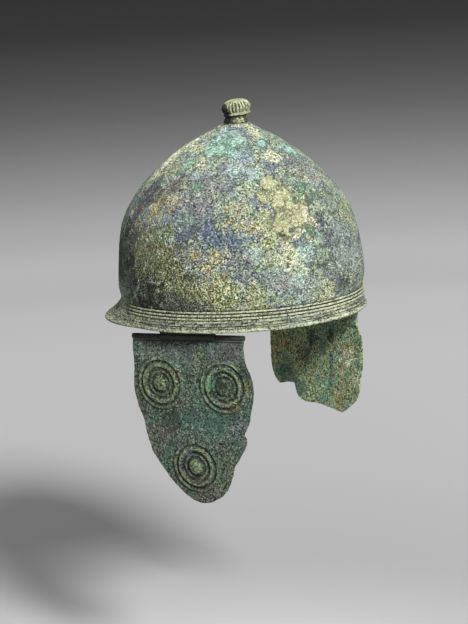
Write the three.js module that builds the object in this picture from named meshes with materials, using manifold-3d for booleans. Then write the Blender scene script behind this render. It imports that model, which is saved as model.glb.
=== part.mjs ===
// Bronze helmet of the Italic conical type, with a neck guard and two hinged cheek pieces.
// Sizes are in millimetres. +Z is up, -Y is the front and +X is the wearer's left.
// The origin is the centre of the head opening, in the plane of the rim.
import * as THREE from 'three';
import { mergeVertices } from 'three/addons/utils/BufferGeometryUtils.js';
import Module from 'manifold-3d';

const wasm = await Module();
wasm.setup();

// Shared by all pieces
const clearance = 0.3; // between pieces that rest on each other or pass through each other
const cutterOverrun = 6; // how far a cutting tool runs past the wall that it cuts
const weldDistance = 0.0005;

// Bowl, rim and neck guard
const bowlHeight = 163; // rim plane to the seat of the knob
const bulgeRadius = 107.8; // widest part of the bowl, a little above the rim
const waistDraw = 2.4; // the bowl is narrower by this much just above the ridges
const rimFlare = 3.6; // and the bead stands out again by this much
const rimWall = 1.8;
const bowlWall = 2.2;
const crownWall = 3;
const crownForward = 2.8; // the crown sits this far ahead of the rim's centre
const crownLeft = 2.3; // and this far to the wearer's left
const leanStart = 60; // height above which the bowl leans towards its crown
const leanPower = 8; // nearly all of it close under the crown
const beadHeight = 3.2;
const beadRelief = 1.4;
const bandTop = 10.2; // top of the flat band between the bead and the ridges
const ridgeCount = 3;
const ridgePitch = 2.7;
const ridgeRelief = 1;
const guardReach = 16.8; // how far the neck guard stands out behind the rim
const guardDrop = 2.4; // how far its edge dips below the rim plane
const backDraw = 3.2; // the bowl is drawn in by this much above the guard
const backDrawTop = 80; // up to this height
const guardRise = 21; // height at which its flare begins
const guardThickness = 1.6;
const guardHalfAngle = THREE.MathUtils.degToRad(76);
const mouldingFadeShare = 0.3; // share of the guard's reach at which the mouldings have died out
const bowlSegments = 60;
const domeRows = 11;
const beadSteps = 3;
// Height over the bowl's height, and radius over the bulge's radius, from the bulge to the crown
const domeProfileShares = [
  [0.185, 1],
  [0.309, 0.988],
  [0.432, 0.957],
  [0.556, 0.892],
  [0.667, 0.786],
  [0.765, 0.648],
  [0.852, 0.49],
  [0.92, 0.333],
  [0.969, 0.187],
];

// Crest knob with its tenon, and the rove inside the crown
const knobFootRadius = 10.6;
const knobNeckRadius = 8.9;
const knobNeckHeight = 7;
const flangeRadius = 12.3;
const flangeThickness = 1.2;
const capRadius = 12.7;
const capHeight = 12.6;
const capShift = 1.4; // the cap stands off its neck, against its lean
const capLean = THREE.MathUtils.degToRad(6);
const capLeanHeading = THREE.MathUtils.degToRad(130); // turned from +X: it leans back and to the right
const fluteCount = 24;
const fluteDepth = 0.9;
const tenonRadius = 3.2;
const peenRadius = 5.2;
const peenHeight = 1.8;
const roveRadius = 8;
const roveThickness = 1.5;
const turnedSegments = 24;
// Radius over the cap's radius, height over the cap's height, and depth over the flutes' depth
const capProfileShares = [
  [0.84, 0.1, 0.2],
  [0.92, 0.18, 0.8],
  [1, 0.4, 1],
  [0.97, 0.62, 1],
  [0.8, 0.84, 0.7],
  [0.45, 0.965, 0.2],
];

// Hinge line on the wearer's left; the right side mirrors it
const hingeRearOverhang = 1.06; // the pin's rear end lies this far outside the mouth's wall
const hingeRearSetback = 43.7;
const hingeRearDrop = 8.9;
const hingeFrontInset = 0.8; // and its front end this far inside it
const hingeFrontAdvance = 65.3;
const hingeFrontDrop = 5.8;
const pinRadius = 0.9;
const sheetThickness = 1.15; // bronze sheet of the cheek pieces and hinge leaves
const knuckleSegments = 16;

// Hinge leaf and its rivets
const leafWidth = 55;
const leafFootHeight = 8; // above the rim plane, where the leaf meets the wall of the bowl
const leafTopHeight = 28;
const leafColumns = 6;
const rivetInset = 8.5; // from each end of the leaf
const rivetHeight = 22.5; // above the rim plane
const rivetShankRadius = 1.6;
const rivetHeadRadius = 3.2;
const rivetHeadHeight = 1.4;
const rivetSegments = 12;

// Cheek pieces
const cheekHeight = 145.5;
const cheekBow = 2.4; // the sheet swells outward by this much at half its height
const cheekToe = 1.2; // and its lower end turns in by this much
const edgeFlatteningShare = 0.5; // share of the bow that is gone at the front and rear edges
const lapDepth = 19; // the rolled edge is lapped inside down to here
const roundelRadius = 23.2;
const roundelHeight = 4;
const roundelSegments = 20;
const roundelSeam = 0.8;
const roundelProud = 0.2;
const cheekColumns = 6;
const cheekRows = 9;
// Both outlines run from the rear top corner down and round to the front top corner.
// Distance forward over the hinge's length, and depth under the pin over the cheek's height
const rightOutlineShares = [
  [-0.006, 0.085], [-0.006, 0.17], [-0.022, 0.256], [-0.024, 0.34], [-0.003, 0.425], [0.034, 0.502],
  [0.046, 0.588], [0.066, 0.652], [0.092, 0.71], [0.162, 0.788], [0.226, 0.862], [0.303, 0.926],
  [0.396, 0.981], [0.495, 1], [0.588, 0.984], [0.685, 0.94], [0.746, 0.88], [0.793, 0.801],
  [0.806, 0.744], [0.837, 0.694], [0.911, 0.649], [0.943, 0.606], [0.927, 0.565], [0.975, 0.508],
  [0.999, 0.445], [1.028, 0.375], [1.042, 0.305], [1.039, 0.243], [1.01, 0.182], [0.987, 0.121],
  [0.984, 0.059],
];
const leftOutlineShares = [
  [-0.006, 0.085], [-0.012, 0.15], [-0.03, 0.22], [-0.033, 0.33], [-0.033, 0.392], [-0.013, 0.471],
  [0.028, 0.52], [0.057, 0.54], [0.138, 0.527], [0.23, 0.528], [0.247, 0.557], [0.263, 0.603],
  [0.351, 0.634], [0.487, 0.636], [0.597, 0.648], [0.697, 0.663], [0.779, 0.671], [0.841, 0.644],
  [0.921, 0.601], [0.969, 0.552], [0.993, 0.459], [1.02, 0.399], [1.028, 0.307], [1.031, 0.217],
  [1.008, 0.173], [0.987, 0.138], [0.99, 0.05],
];
const upperRoundelShares = [[0.228, 0.275], [0.795, 0.287]];
const lowerRoundelShares = [[0.473, 0.774]];
// Radius over the roundel's radius, and height over the roundel's height: boss, ring, broad ring, line
const roundelProfileShares = [
  [0.19, 0.87], [0.29, 0.46], [0.355, 0.06], [0.45, 0.36], [0.535, 0.06], [0.61, 0.5],
  [0.69, 0.68], [0.78, 0.5], [0.845, 0.06], [0.915, 0.28],
];

// Patinated bronze: paler on the bowl, darker on the cheek pieces, browner inside
function patina(color, roughness) {
  return new THREE.MeshStandardMaterial({ color, roughness, metalness: 0.35 });
}

function solidFrom(geometry) {
  const bare = geometry.clone();
  bare.deleteAttribute('normal');
  bare.deleteAttribute('uv');
  const merged = mergeVertices(bare, weldDistance);
  return new wasm.Manifold(new wasm.Mesh({
    numProp: 3,
    vertProperties: new Float32Array(merged.attributes.position.array),
    triVerts: new Uint32Array(merged.index.array),
  }));
}

function geometryFrom(solid) {
  const mesh = solid.getMesh();
  const geometry = new THREE.BufferGeometry();
  geometry.setAttribute('position', new THREE.BufferAttribute(mesh.vertProperties, 3));
  geometry.setIndex(new THREE.BufferAttribute(mesh.triVerts, 1));
  geometry.computeVertexNormals();
  return geometry;
}

function lathed(profile, segments) {
  const points = profile.map(([radius, height]) => new THREE.Vector2(radius, height));
  return new THREE.LatheGeometry(points, segments);
}

// A sleeve along X
function sleeveAlongX(innerRadius, outerRadius, length, centre) {
  const half = length / 2;
  const profile = [
    [innerRadius, -half],
    [outerRadius, -half],
    [outerRadius, half],
    [innerRadius, half],
    [innerRadius, -half],
  ];
  return lathed(profile, knuckleSegments).rotateZ(-Math.PI / 2).translate(centre, 0, 0);
}

// A closed sheet between two grids of points, stitched along its four edges.
// Rows run down and columns run forward, as seen from the face.
function sheetBetween(face, back) {
  const rows = face.length;
  const columns = face[0].length;
  const positions = [...face, ...back].flat().flatMap((point) => point.toArray());
  const triangles = [];
  const faceAt = (row, column) => row * columns + column;
  const backAt = (row, column) => rows * columns + faceAt(row, column);
  const quad = (a, b, c, d) => triangles.push(a, b, c, a, c, d);
  for (let row = 0; row + 1 < rows; row += 1) {
    for (let column = 0; column + 1 < columns; column += 1) {
      const next = column + 1;
      quad(faceAt(row, column), faceAt(row, next), faceAt(row + 1, next), faceAt(row + 1, column));
      quad(backAt(row, column), backAt(row + 1, column), backAt(row + 1, next), backAt(row, next));
    }
    const last = columns - 1;
    quad(faceAt(row, 0), faceAt(row + 1, 0), backAt(row + 1, 0), backAt(row, 0));
    quad(faceAt(row + 1, last), faceAt(row, last), backAt(row, last), backAt(row + 1, last));
  }
  for (let column = 0; column + 1 < columns; column += 1) {
    const last = rows - 1;
    quad(faceAt(0, column + 1), faceAt(0, column), backAt(0, column), backAt(0, column + 1));
    quad(faceAt(last, column), faceAt(last, column + 1), backAt(last, column + 1), backAt(last, column));
  }
  const geometry = new THREE.BufferGeometry();
  geometry.setAttribute('position', new THREE.Float32BufferAttribute(positions, 3));
  geometry.setIndex(triangles);
  return geometry;
}

// Bowl: heights and radii of its surfaces, before the neck guard is drawn out
const waistRadius = bulgeRadius - waistDraw;
const rimRadius = waistRadius + rimFlare;
const mouthRadius = waistRadius - rimWall;
const mouldingTop = bandTop + ridgeCount * ridgePitch;
const seatRadius = knobFootRadius + clearance;
const bandRadius = rimRadius - beadRelief;

function flareRadius(height) {
  return THREE.MathUtils.lerp(bandRadius, waistRadius, height / mouldingTop);
}

// Each row of the outside: height, radius of the plain wall, and relief of the moulding on it
function mouldingRows() {
  const rows = [];
  for (let step = 0; step <= beadSteps; step += 1) {
    const turn = Math.PI * (step / beadSteps - 0.5);
    const height = (beadHeight / 2) * (1 + Math.sin(turn));
    rows.push({ height, radius: flareRadius(height), relief: beadRelief * Math.cos(turn), isBead: true });
  }
  for (let ridge = 0; ridge < ridgeCount; ridge += 1) {
    const reliefShares = [[0, 0], [0.3, 1], [0.7, 1]];
    for (const [alongShare, reliefShare] of reliefShares) {
      const height = bandTop + (ridge + alongShare) * ridgePitch;
      rows.push({ height, radius: flareRadius(height), relief: ridgeRelief * reliefShare, isBead: false });
    }
  }
  return rows;
}

const domeCurve = new THREE.SplineCurve([
  new THREE.Vector2(waistRadius, mouldingTop),
  ...domeProfileShares.map(([up, out]) => new THREE.Vector2(out * bulgeRadius, up * bowlHeight)),
  new THREE.Vector2(seatRadius, bowlHeight),
]);

function domePoint(along, depth) {
  const point = domeCurve.getPoint(along);
  const tangent = domeCurve.getTangent(along);
  return new THREE.Vector2(point.x - tangent.y * depth, point.y + tangent.x * depth);
}

function outerRows() {
  const rows = mouldingRows();
  for (let row = 0; row <= domeRows; row += 1) {
    const point = domePoint(row / domeRows, 0);
    rows.push({ height: point.y, radius: point.x, relief: 0, isBead: false });
  }
  rows.push({ height: bowlHeight, radius: 0, relief: 0, isBead: false });
  return rows;
}

function innerRows() {
  const rows = [0, beadHeight, mouldingTop].map((height) => ({ height, radius: mouthRadius, relief: 0 }));
  for (let row = 2; row < domeRows; row += 1) {
    const point = domePoint(row / domeRows, bowlWall);
    rows.push({ height: point.y, radius: point.x, relief: 0 });
  }
  rows.push({ height: bowlHeight - crownWall, radius: seatRadius, relief: 0 });
  rows.push({ height: bowlHeight - crownWall, radius: 0, relief: 0 });
  return rows;
}

function guardShare(angleFromBack) {
  const turn = Math.min(1, Math.abs(angleFromBack) / guardHalfAngle);
  return Math.cos(turn * Math.PI / 2);
}

// The guard keeps its full reach over the bead and dies away in a hollow curve above it
function guardFlareShare(height) {
  const below = (guardRise - Math.max(height, beadHeight)) / (guardRise - beadHeight);
  return Math.max(0, below) ** 2;
}

// How much of the crown's offset the bowl has at a height
function leanShare(height) {
  return (Math.max(0, height - leanStart) / (bowlHeight - leanStart)) ** leanPower;
}

// One corner of the bowl's surface, with the guard drawn out and the back drawn in
function bowlPoint(row, turn, isInside) {
  const angleFromFront = turn > Math.PI ? Math.PI * 2 - turn : turn;
  const reachShare = guardShare(Math.PI - angleFromFront);
  const flareShare = guardFlareShare(isInside ? row.height + guardThickness : row.height);
  const drawShare = Math.sin(Math.PI * Math.min(1, row.height / backDrawTop)) * reachShare;
  const fade = row.isBead ? 1 : Math.max(0, 1 - reachShare / mouldingFadeShare);
  const push = row.height < backDrawTop ? guardReach * reachShare * flareShare - backDraw * drawShare : 0;
  const radius = row.radius + row.relief * fade + push;
  const lean = leanShare(row.height);
  return new THREE.Vector3(
    radius * Math.sin(turn) + crownLeft * lean,
    row.height - guardDrop * reachShare * guardFlareShare(row.height),
    radius * Math.cos(turn) + crownForward * lean,
  );
}

function bowlShell() {
  const inside = innerRows().reverse();
  const rows = [...inside, ...outerRows()];
  const geometry = lathed(rows.map((row) => [row.radius, row.height]), bowlSegments);
  const position = geometry.attributes.position;
  for (let index = 0; index < position.count; index += 1) {
    const row = rows[index % rows.length];
    const column = Math.floor(index / rows.length) % bowlSegments;
    const turn = (column / bowlSegments) * Math.PI * 2;
    const point = bowlPoint(row, turn, index % rows.length < inside.length);
    position.setXYZ(index, point.x, point.y, point.z);
  }
  return geometry.rotateX(Math.PI / 2);
}

function radiusAt(rows, height) {
  const above = rows.findIndex((row) => row.height >= height);
  const low = rows[above - 1];
  const high = rows[above];
  return THREE.MathUtils.mapLinear(height, low.height, high.height, low.radius, high.radius);
}

// The flats between the bowl's segments come this much nearer to its axis than its corners
const facetSag = bulgeRadius * (1 - Math.cos(Math.PI / bowlSegments));

// Hinge line and its own axes: forward along the pin, outward from the bowl, and up
const rearReach = Math.sqrt((mouthRadius + hingeRearOverhang) ** 2 - hingeRearSetback ** 2);
const frontReach = Math.sqrt((mouthRadius - hingeFrontInset) ** 2 - hingeFrontAdvance ** 2);
const rearPin = new THREE.Vector3(rearReach, hingeRearSetback, -hingeRearDrop);
const frontPin = new THREE.Vector3(frontReach, -hingeFrontAdvance, -hingeFrontDrop);
const pinMiddle = new THREE.Vector3().lerpVectors(rearPin, frontPin, 0.5);
const barrelLength = rearPin.distanceTo(frontPin);
const forward = new THREE.Vector3().subVectors(frontPin, rearPin).normalize();
const outward = new THREE.Vector3(0, 0, 1).cross(forward).normalize();
const upward = new THREE.Vector3().crossVectors(forward, outward);
const boreRadius = pinRadius + clearance;
const barrelRadius = boreRadius + sheetThickness;
const sheetTop = boreRadius + sheetThickness / 2; // where a sheet runs into the wall of its knuckle
const knuckleLength = (barrelLength - leafWidth) / 2 - clearance;
const rivetAlong = leafWidth / 2 - rivetInset;

// How far outward from the pin a point lies that is a given depth inside the bowl's inner wall
function wallOffset(along, height, depth) {
  const up = (height - pinMiddle.z - along * forward.z) / upward.z;
  const base = pinMiddle.clone().addScaledVector(forward, along).addScaledVector(upward, up);
  const radius = radiusAt(innerRows(), height) - facetSag - depth;
  const across = base.x * outward.x + base.y * outward.y;
  const square = base.x ** 2 + base.y ** 2;
  return { up, out: -across + Math.sqrt(radius ** 2 - square + across ** 2) };
}

// One face of the leaf, from its top on the wall down to the pin
function leafSide(depth, level) {
  const alongShares = Array.from({ length: leafColumns + 1 }, (_, column) => column / leafColumns - 0.5);
  const alongs = alongShares.map((share) => leafWidth * share);
  const heights = [leafTopHeight, (leafTopHeight + leafFootHeight) / 2, leafFootHeight];
  const onWall = heights.map((height) => alongs.map((along) => {
    const { up, out } = wallOffset(along, height, depth);
    return new THREE.Vector3(along, out, up);
  }));
  const overPin = [barrelRadius + sheetThickness, sheetTop].map((up) => (
    alongs.map((along) => new THREE.Vector3(along, level, up))
  ));
  return [...onWall, ...overPin];
}

function hingeLeaf() {
  const face = leafSide(clearance, sheetThickness / 2);
  const back = leafSide(clearance + sheetThickness, -sheetThickness / 2);
  const sleeve = sleeveAlongX(boreRadius, barrelRadius, leafWidth, 0);
  let solid = solidFrom(sheetBetween(face, back)).add(solidFrom(sleeve));
  for (const along of [-rivetAlong, rivetAlong]) {
    const { foot, turn } = rivetPlace(along);
    const hole = rivetCutter().applyQuaternion(turn).translate(foot.x, foot.y, foot.z);
    solid = solid.subtract(solidFrom(hole));
  }
  return geometryFrom(solid);
}

// Rivets stand square to the wall. The foot and turn are in the hinge's own axes.
function rivetPlace(along) {
  const { up, out } = wallOffset(along, rivetHeight, clearance + sheetThickness);
  const foot = new THREE.Vector3(along, out, up);
  const inBowl = pinMiddle.clone().addScaledVector(forward, along);
  inBowl.addScaledVector(outward, out).addScaledVector(upward, up);
  const rows = innerRows();
  const lean = radiusAt(rows, rivetHeight + rivetShankRadius)
    - radiusAt(rows, rivetHeight - rivetShankRadius);
  const square = new THREE.Vector3(inBowl.x, inBowl.y, 0).setLength(rivetShankRadius * 2);
  square.setZ(-lean).normalize();
  const direction = new THREE.Vector3(square.dot(forward), square.dot(outward), square.dot(upward));
  const turn = new THREE.Quaternion().setFromUnitVectors(new THREE.Vector3(0, 1, 0), direction);
  return { foot, turn, inBowl, square };
}

function rivetCutter() {
  const radius = rivetShankRadius + clearance;
  return new THREE.CylinderGeometry(radius, radius, cutterOverrun * 2, rivetSegments);
}

function leafRivet() {
  const shankLength = clearance + sheetThickness + clearance + bowlWall;
  const headShares = [[0.5, 0.93], [0.85, 0.6], [1, 0.15]];
  const profile = [
    [0, -clearance - rivetHeadHeight],
    ...headShares.map(([out, down]) => [out * rivetHeadRadius, -clearance - down * rivetHeadHeight]),
    [rivetHeadRadius, -clearance],
    [rivetShankRadius, -clearance],
    [rivetShankRadius, shankLength],
    [0, shankLength],
  ];
  return geometryFrom(solidFrom(lathed(profile, rivetSegments)));
}

function bowl() {
  let solid = solidFrom(bowlShell());
  const tenonHole = new THREE.CylinderGeometry(
    tenonRadius + clearance, tenonRadius + clearance, crownWall + cutterOverrun * 2, turnedSegments,
  );
  tenonHole.rotateX(Math.PI / 2).translate(crownLeft, -crownForward, bowlHeight);
  solid = solid.subtract(solidFrom(tenonHole));
  for (const side of [-1, 1]) {
    for (const along of [-rivetAlong, rivetAlong]) {
      const { inBowl, square } = rivetPlace(along);
      const direction = new THREE.Vector3(square.x * side, square.y, square.z);
      const turn = new THREE.Quaternion().setFromUnitVectors(new THREE.Vector3(0, 1, 0), direction);
      const hole = rivetCutter().applyQuaternion(turn).translate(inBowl.x * side, inBowl.y, inBowl.z);
      solid = solid.subtract(solidFrom(hole));
    }
  }
  return geometryFrom(solid);
}

// Crest knob: its foot stands on the crown, at the origin of its own axes
const roveTop = -clearance * 2 - crownWall;
const peenTop = roveTop - roveThickness - clearance;

function knobStem() {
  const neckShares = [[0.95, 0.18], [0.55, 0.38], [0.12, 0.6], [0, 0.8], [0, 1]];
  const flareOut = knobFootRadius - knobNeckRadius;
  const profile = [
    [0, peenTop - peenHeight],
    [peenRadius / 2, peenTop - peenHeight],
    [peenRadius, peenTop - peenHeight / 2],
    [peenRadius, peenTop],
    [tenonRadius, peenTop],
    [tenonRadius, 0],
    [knobFootRadius, 0],
    ...neckShares.map(([out, up]) => [knobNeckRadius + out * flareOut, up * knobNeckHeight]),
    [0, knobNeckHeight],
  ];
  return lathed(profile, turnedSegments).rotateX(Math.PI / 2);
}

function knobCap() {
  const rows = [
    [0, -flangeThickness, 0],
    [knobNeckRadius, -flangeThickness, 0],
    [flangeRadius, 0, 0],
    [flangeRadius, flangeThickness / 2, 0],
    ...capProfileShares.map(([out, up, flute]) => [
      out * capRadius, flangeThickness / 2 + up * capHeight, flute * fluteDepth,
    ]),
    [0, flangeThickness / 2 + capHeight, 0],
  ];
  const geometry = lathed(rows, fluteCount * 2);
  const position = geometry.attributes.position;
  for (let index = 0; index < position.count; index += 1) {
    const [radius, height, depth] = rows[index % rows.length];
    const column = Math.floor(index / rows.length) % (fluteCount * 2);
    const turn = (column / fluteCount) * Math.PI;
    const reach = column % 2 === 0 ? radius : radius - depth;
    position.setXYZ(index, reach * Math.sin(turn), height, reach * Math.cos(turn));
  }
  const leanAxis = new THREE.Vector3(-Math.sin(capLeanHeading), Math.cos(capLeanHeading), 0);
  const lean = new THREE.Quaternion().setFromAxisAngle(leanAxis, capLean);
  geometry.rotateX(Math.PI / 2).applyQuaternion(lean);
  return geometry.translate(
    -capShift * Math.cos(capLeanHeading), -capShift * Math.sin(capLeanHeading), knobNeckHeight,
  );
}

function crestKnob() {
  return geometryFrom(solidFrom(knobStem()).add(solidFrom(knobCap())));
}

function crestRove() {
  const hole = tenonRadius + clearance;
  const profile = [
    [hole, roveTop - roveThickness], [roveRadius, roveTop - roveThickness], [roveRadius, roveTop],
    [hole, roveTop], [hole, roveTop - roveThickness],
  ];
  return lathed(profile, turnedSegments).rotateX(Math.PI / 2);
}

// Cheek pieces, in the hinge's own axes. Depth runs down from the pin.
function cheekSwell(along, depth) {
  const depthShare = THREE.MathUtils.clamp(depth / cheekHeight, 0, 1);
  const acrossShare = (2 * along) / barrelLength;
  const bowShare = Math.sin(Math.PI * depthShare) * (1 - edgeFlatteningShare * acrossShare ** 2);
  return cheekBow * bowShare - cheekToe * depthShare ** 2;
}

function cheekSheet(inner, outer, top, bottom, rows) {
  const margin = cutterOverrun * 2;
  const side = (level) => {
    const grid = [];
    for (let row = 0; row <= rows; row += 1) {
      const depth = THREE.MathUtils.lerp(top, bottom, row / rows);
      const line = [];
      for (let column = 0; column <= cheekColumns; column += 1) {
        const along = (barrelLength + margin * 2) * (column / cheekColumns - 0.5);
        line.push(new THREE.Vector3(along, level + cheekSwell(along, depth), -depth));
      }
      grid.push(line);
    }
    return grid;
  };
  return solidFrom(sheetBetween(side(outer), side(inner)));
}

function outlinePrism(outlineShares) {
  const half = barrelLength / 2;
  const corners = [
    [0, sheetTop],
    ...outlineShares.map(([along, depth]) => [along * barrelLength, depth * cheekHeight]),
    [barrelLength, sheetTop],
  ];
  const shape = new THREE.Shape(corners.map(([along, depth]) => new THREE.Vector2(along - half, -depth)));
  const thick = cutterOverrun * 4;
  const prism = new THREE.ExtrudeGeometry(shape, { depth: thick, bevelEnabled: false });
  return solidFrom(prism.rotateX(Math.PI / 2).translate(0, thick / 2, 0));
}

function roundelCentre([alongShare, depthShare]) {
  return { along: (alongShare - 0.5) * barrelLength, depth: depthShare * cheekHeight };
}

function roundelRelief(centre) {
  const level = roundelProfileShares.map(([out, up]) => [out * roundelRadius, up * roundelHeight]);
  const profile = [
    [0, roundelHeight],
    ...level,
    [roundelRadius, -roundelProud],
    [roundelRadius, sheetThickness + roundelProud],
    ...level.map(([radius, height]) => [radius, height + sheetThickness]).reverse(),
    [0, roundelHeight + sheetThickness],
  ];
  const geometry = lathed(profile, roundelSegments).translate(centre.along, 0, -centre.depth);
  const position = geometry.attributes.position;
  for (let index = 0; index < position.count; index += 1) {
    const swell = cheekSwell(position.getX(index), -position.getZ(index));
    position.setY(index, position.getY(index) + swell);
  }
  return solidFrom(geometry);
}

function roundelHole(centre) {
  const radius = roundelRadius - roundelSeam;
  const hole = new THREE.CylinderGeometry(radius, radius, cutterOverrun * 4, roundelSegments);
  return solidFrom(hole.translate(centre.along, 0, -centre.depth));
}

function cheekPiece(outlineShares, roundelShares) {
  const prism = outlinePrism(outlineShares);
  const bottom = cheekHeight + cutterOverrun;
  const lap = cheekSheet(-sheetThickness, sheetThickness / 2, 0, lapDepth, 2);
  let solid = cheekSheet(0, sheetThickness, 0, bottom, cheekRows).add(lap).intersect(prism);
  for (const shares of roundelShares) {
    const centre = roundelCentre(shares);
    solid = solid.subtract(roundelHole(centre)).add(roundelRelief(centre));
  }
  const notchDepth = barrelRadius + clearance * 2;
  const notch = new THREE.BoxGeometry(leafWidth + clearance * 2, cutterOverrun * 2, notchDepth * 2);
  solid = solid.subtract(solidFrom(notch));
  for (const end of [-1, 1]) {
    const centre = (end * (barrelLength - knuckleLength)) / 2;
    solid = solid.add(solidFrom(sleeveAlongX(boreRadius, barrelRadius, knuckleLength, centre)));
  }
  return geometryFrom(solid);
}

function hingePin() {
  const pin = new THREE.CylinderGeometry(pinRadius, pinRadius, barrelLength, knuckleSegments);
  return pin.rotateZ(Math.PI / 2);
}

// The turn about the pin at which a hanging piece has its centre of mass straight under the pin
function plumbTurn(geometry) {
  const corners = [0, 1, 2].map(() => new THREE.Vector3());
  const moment = new THREE.Vector3();
  const { array } = geometry.index;
  for (let start = 0; start < array.length; start += 3) {
    corners.forEach((corner, offset) => {
      corner.fromBufferAttribute(geometry.attributes.position, array[start + offset]);
    });
    const volume = corners[0].dot(corners[1].clone().cross(corners[2]));
    corners.forEach((corner) => moment.addScaledVector(corner, volume));
  }
  return Math.atan(moment.y / moment.z);
}

// Turns a left piece into a right one
function mirrored(geometry) {
  geometry.scale(-1, 1, 1);
  const { array } = geometry.index;
  for (let start = 0; start < array.length; start += 3) {
    [array[start], array[start + 1]] = [array[start + 1], array[start]];
  }
  geometry.computeVertexNormals();
  return geometry;
}

function named(name, geometry, material) {
  const mesh = new THREE.Mesh(geometry, material);
  mesh.name = name;
  return mesh;
}

// Everything that hangs on one hinge, in a group with the hinge's own axes
function hingeSide(name, side, outlineShares, roundelShares) {
  const handed = (geometry) => (side > 0 ? geometry : mirrored(geometry));
  const toWorld = (vector) => vector.clone().setX(vector.x * side);
  const group = new THREE.Group();
  const alongAxis = toWorld(forward).multiplyScalar(side);
  const axes = new THREE.Matrix4().makeBasis(alongAxis, toWorld(outward), toWorld(upward));
  group.position.copy(toWorld(pinMiddle));
  group.quaternion.setFromRotationMatrix(axes);
  group.add(named(`${name}_hinge_leaf`, handed(hingeLeaf()), patina(0x5a6350, 0.85)));
  group.add(named(`${name}_hinge_pin`, hingePin(), patina(0x4f5446, 0.8)));
  for (const [place, along] of [['rear', -rivetAlong], ['front', rivetAlong]]) {
    const rivet = named(`${name}_${place}_leaf_rivet`, leafRivet(), patina(0x66705a, 0.85));
    const { foot, turn } = rivetPlace(along);
    rivet.position.copy(toWorld(foot));
    rivet.quaternion.set(turn.x, turn.y * side, turn.z * side, turn.w);
    group.add(rivet);
  }
  const cheekGeometry = handed(cheekPiece(outlineShares, roundelShares));
  const cheek = named(`${name}_cheek_piece`, cheekGeometry, patina(0x5b6c5e, 0.8));
  cheek.rotation.x = plumbTurn(cheekGeometry);
  group.add(cheek);
  return group;
}

const helmet = new THREE.Group();
helmet.add(named('bowl', bowl(), patina(0x8b9378, 0.85)));

const crest = new THREE.Group();
crest.position.set(crownLeft, -crownForward, bowlHeight + clearance);
crest.add(named('crest_knob', crestKnob(), patina(0xb9b790, 0.85)));
crest.add(named('crest_rove', crestRove(), patina(0x5a6350, 0.85)));
helmet.add(crest);

helmet.add(hingeSide('right', -1, rightOutlineShares, [...upperRoundelShares, ...lowerRoundelShares]));
helmet.add(hingeSide('left', 1, leftOutlineShares, upperRoundelShares));

export default helmet;
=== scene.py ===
import bmesh
import bpy
import math
import numpy as np
from mathutils import Matrix, Vector, noise


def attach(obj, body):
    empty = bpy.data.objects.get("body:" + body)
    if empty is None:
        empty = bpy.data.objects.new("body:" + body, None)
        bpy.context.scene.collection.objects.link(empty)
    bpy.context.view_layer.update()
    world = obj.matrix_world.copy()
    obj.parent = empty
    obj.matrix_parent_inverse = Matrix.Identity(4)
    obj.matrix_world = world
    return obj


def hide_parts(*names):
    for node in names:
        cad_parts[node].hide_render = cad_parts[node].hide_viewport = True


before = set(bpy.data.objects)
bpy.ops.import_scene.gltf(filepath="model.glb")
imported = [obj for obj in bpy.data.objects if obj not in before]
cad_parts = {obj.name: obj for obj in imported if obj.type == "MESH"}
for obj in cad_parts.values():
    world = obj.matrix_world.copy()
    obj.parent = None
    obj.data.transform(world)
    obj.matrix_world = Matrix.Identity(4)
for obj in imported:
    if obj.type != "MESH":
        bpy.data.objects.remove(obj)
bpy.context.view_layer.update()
print("frame loaded")

mm = 0.001
fullTurn = 2 * math.pi


# sockets as numbers, so that a material's sums read like sums
class Wire:
    def __init__(self, board, socket):
        self.board = board
        self.socket = socket

    def __add__(self, other):
        return self.board.sum("ADD", self, other)

    def __radd__(self, other):
        return self.board.sum("ADD", other, self)

    def __sub__(self, other):
        return self.board.sum("SUBTRACT", self, other)

    def __rsub__(self, other):
        return self.board.sum("SUBTRACT", other, self)

    def __mul__(self, other):
        return self.board.sum("MULTIPLY", self, other)

    def __rmul__(self, other):
        return self.board.sum("MULTIPLY", other, self)

    def __truediv__(self, other):
        return self.board.sum("DIVIDE", self, other)

    def __rtruediv__(self, other):
        return self.board.sum("DIVIDE", other, self)


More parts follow.
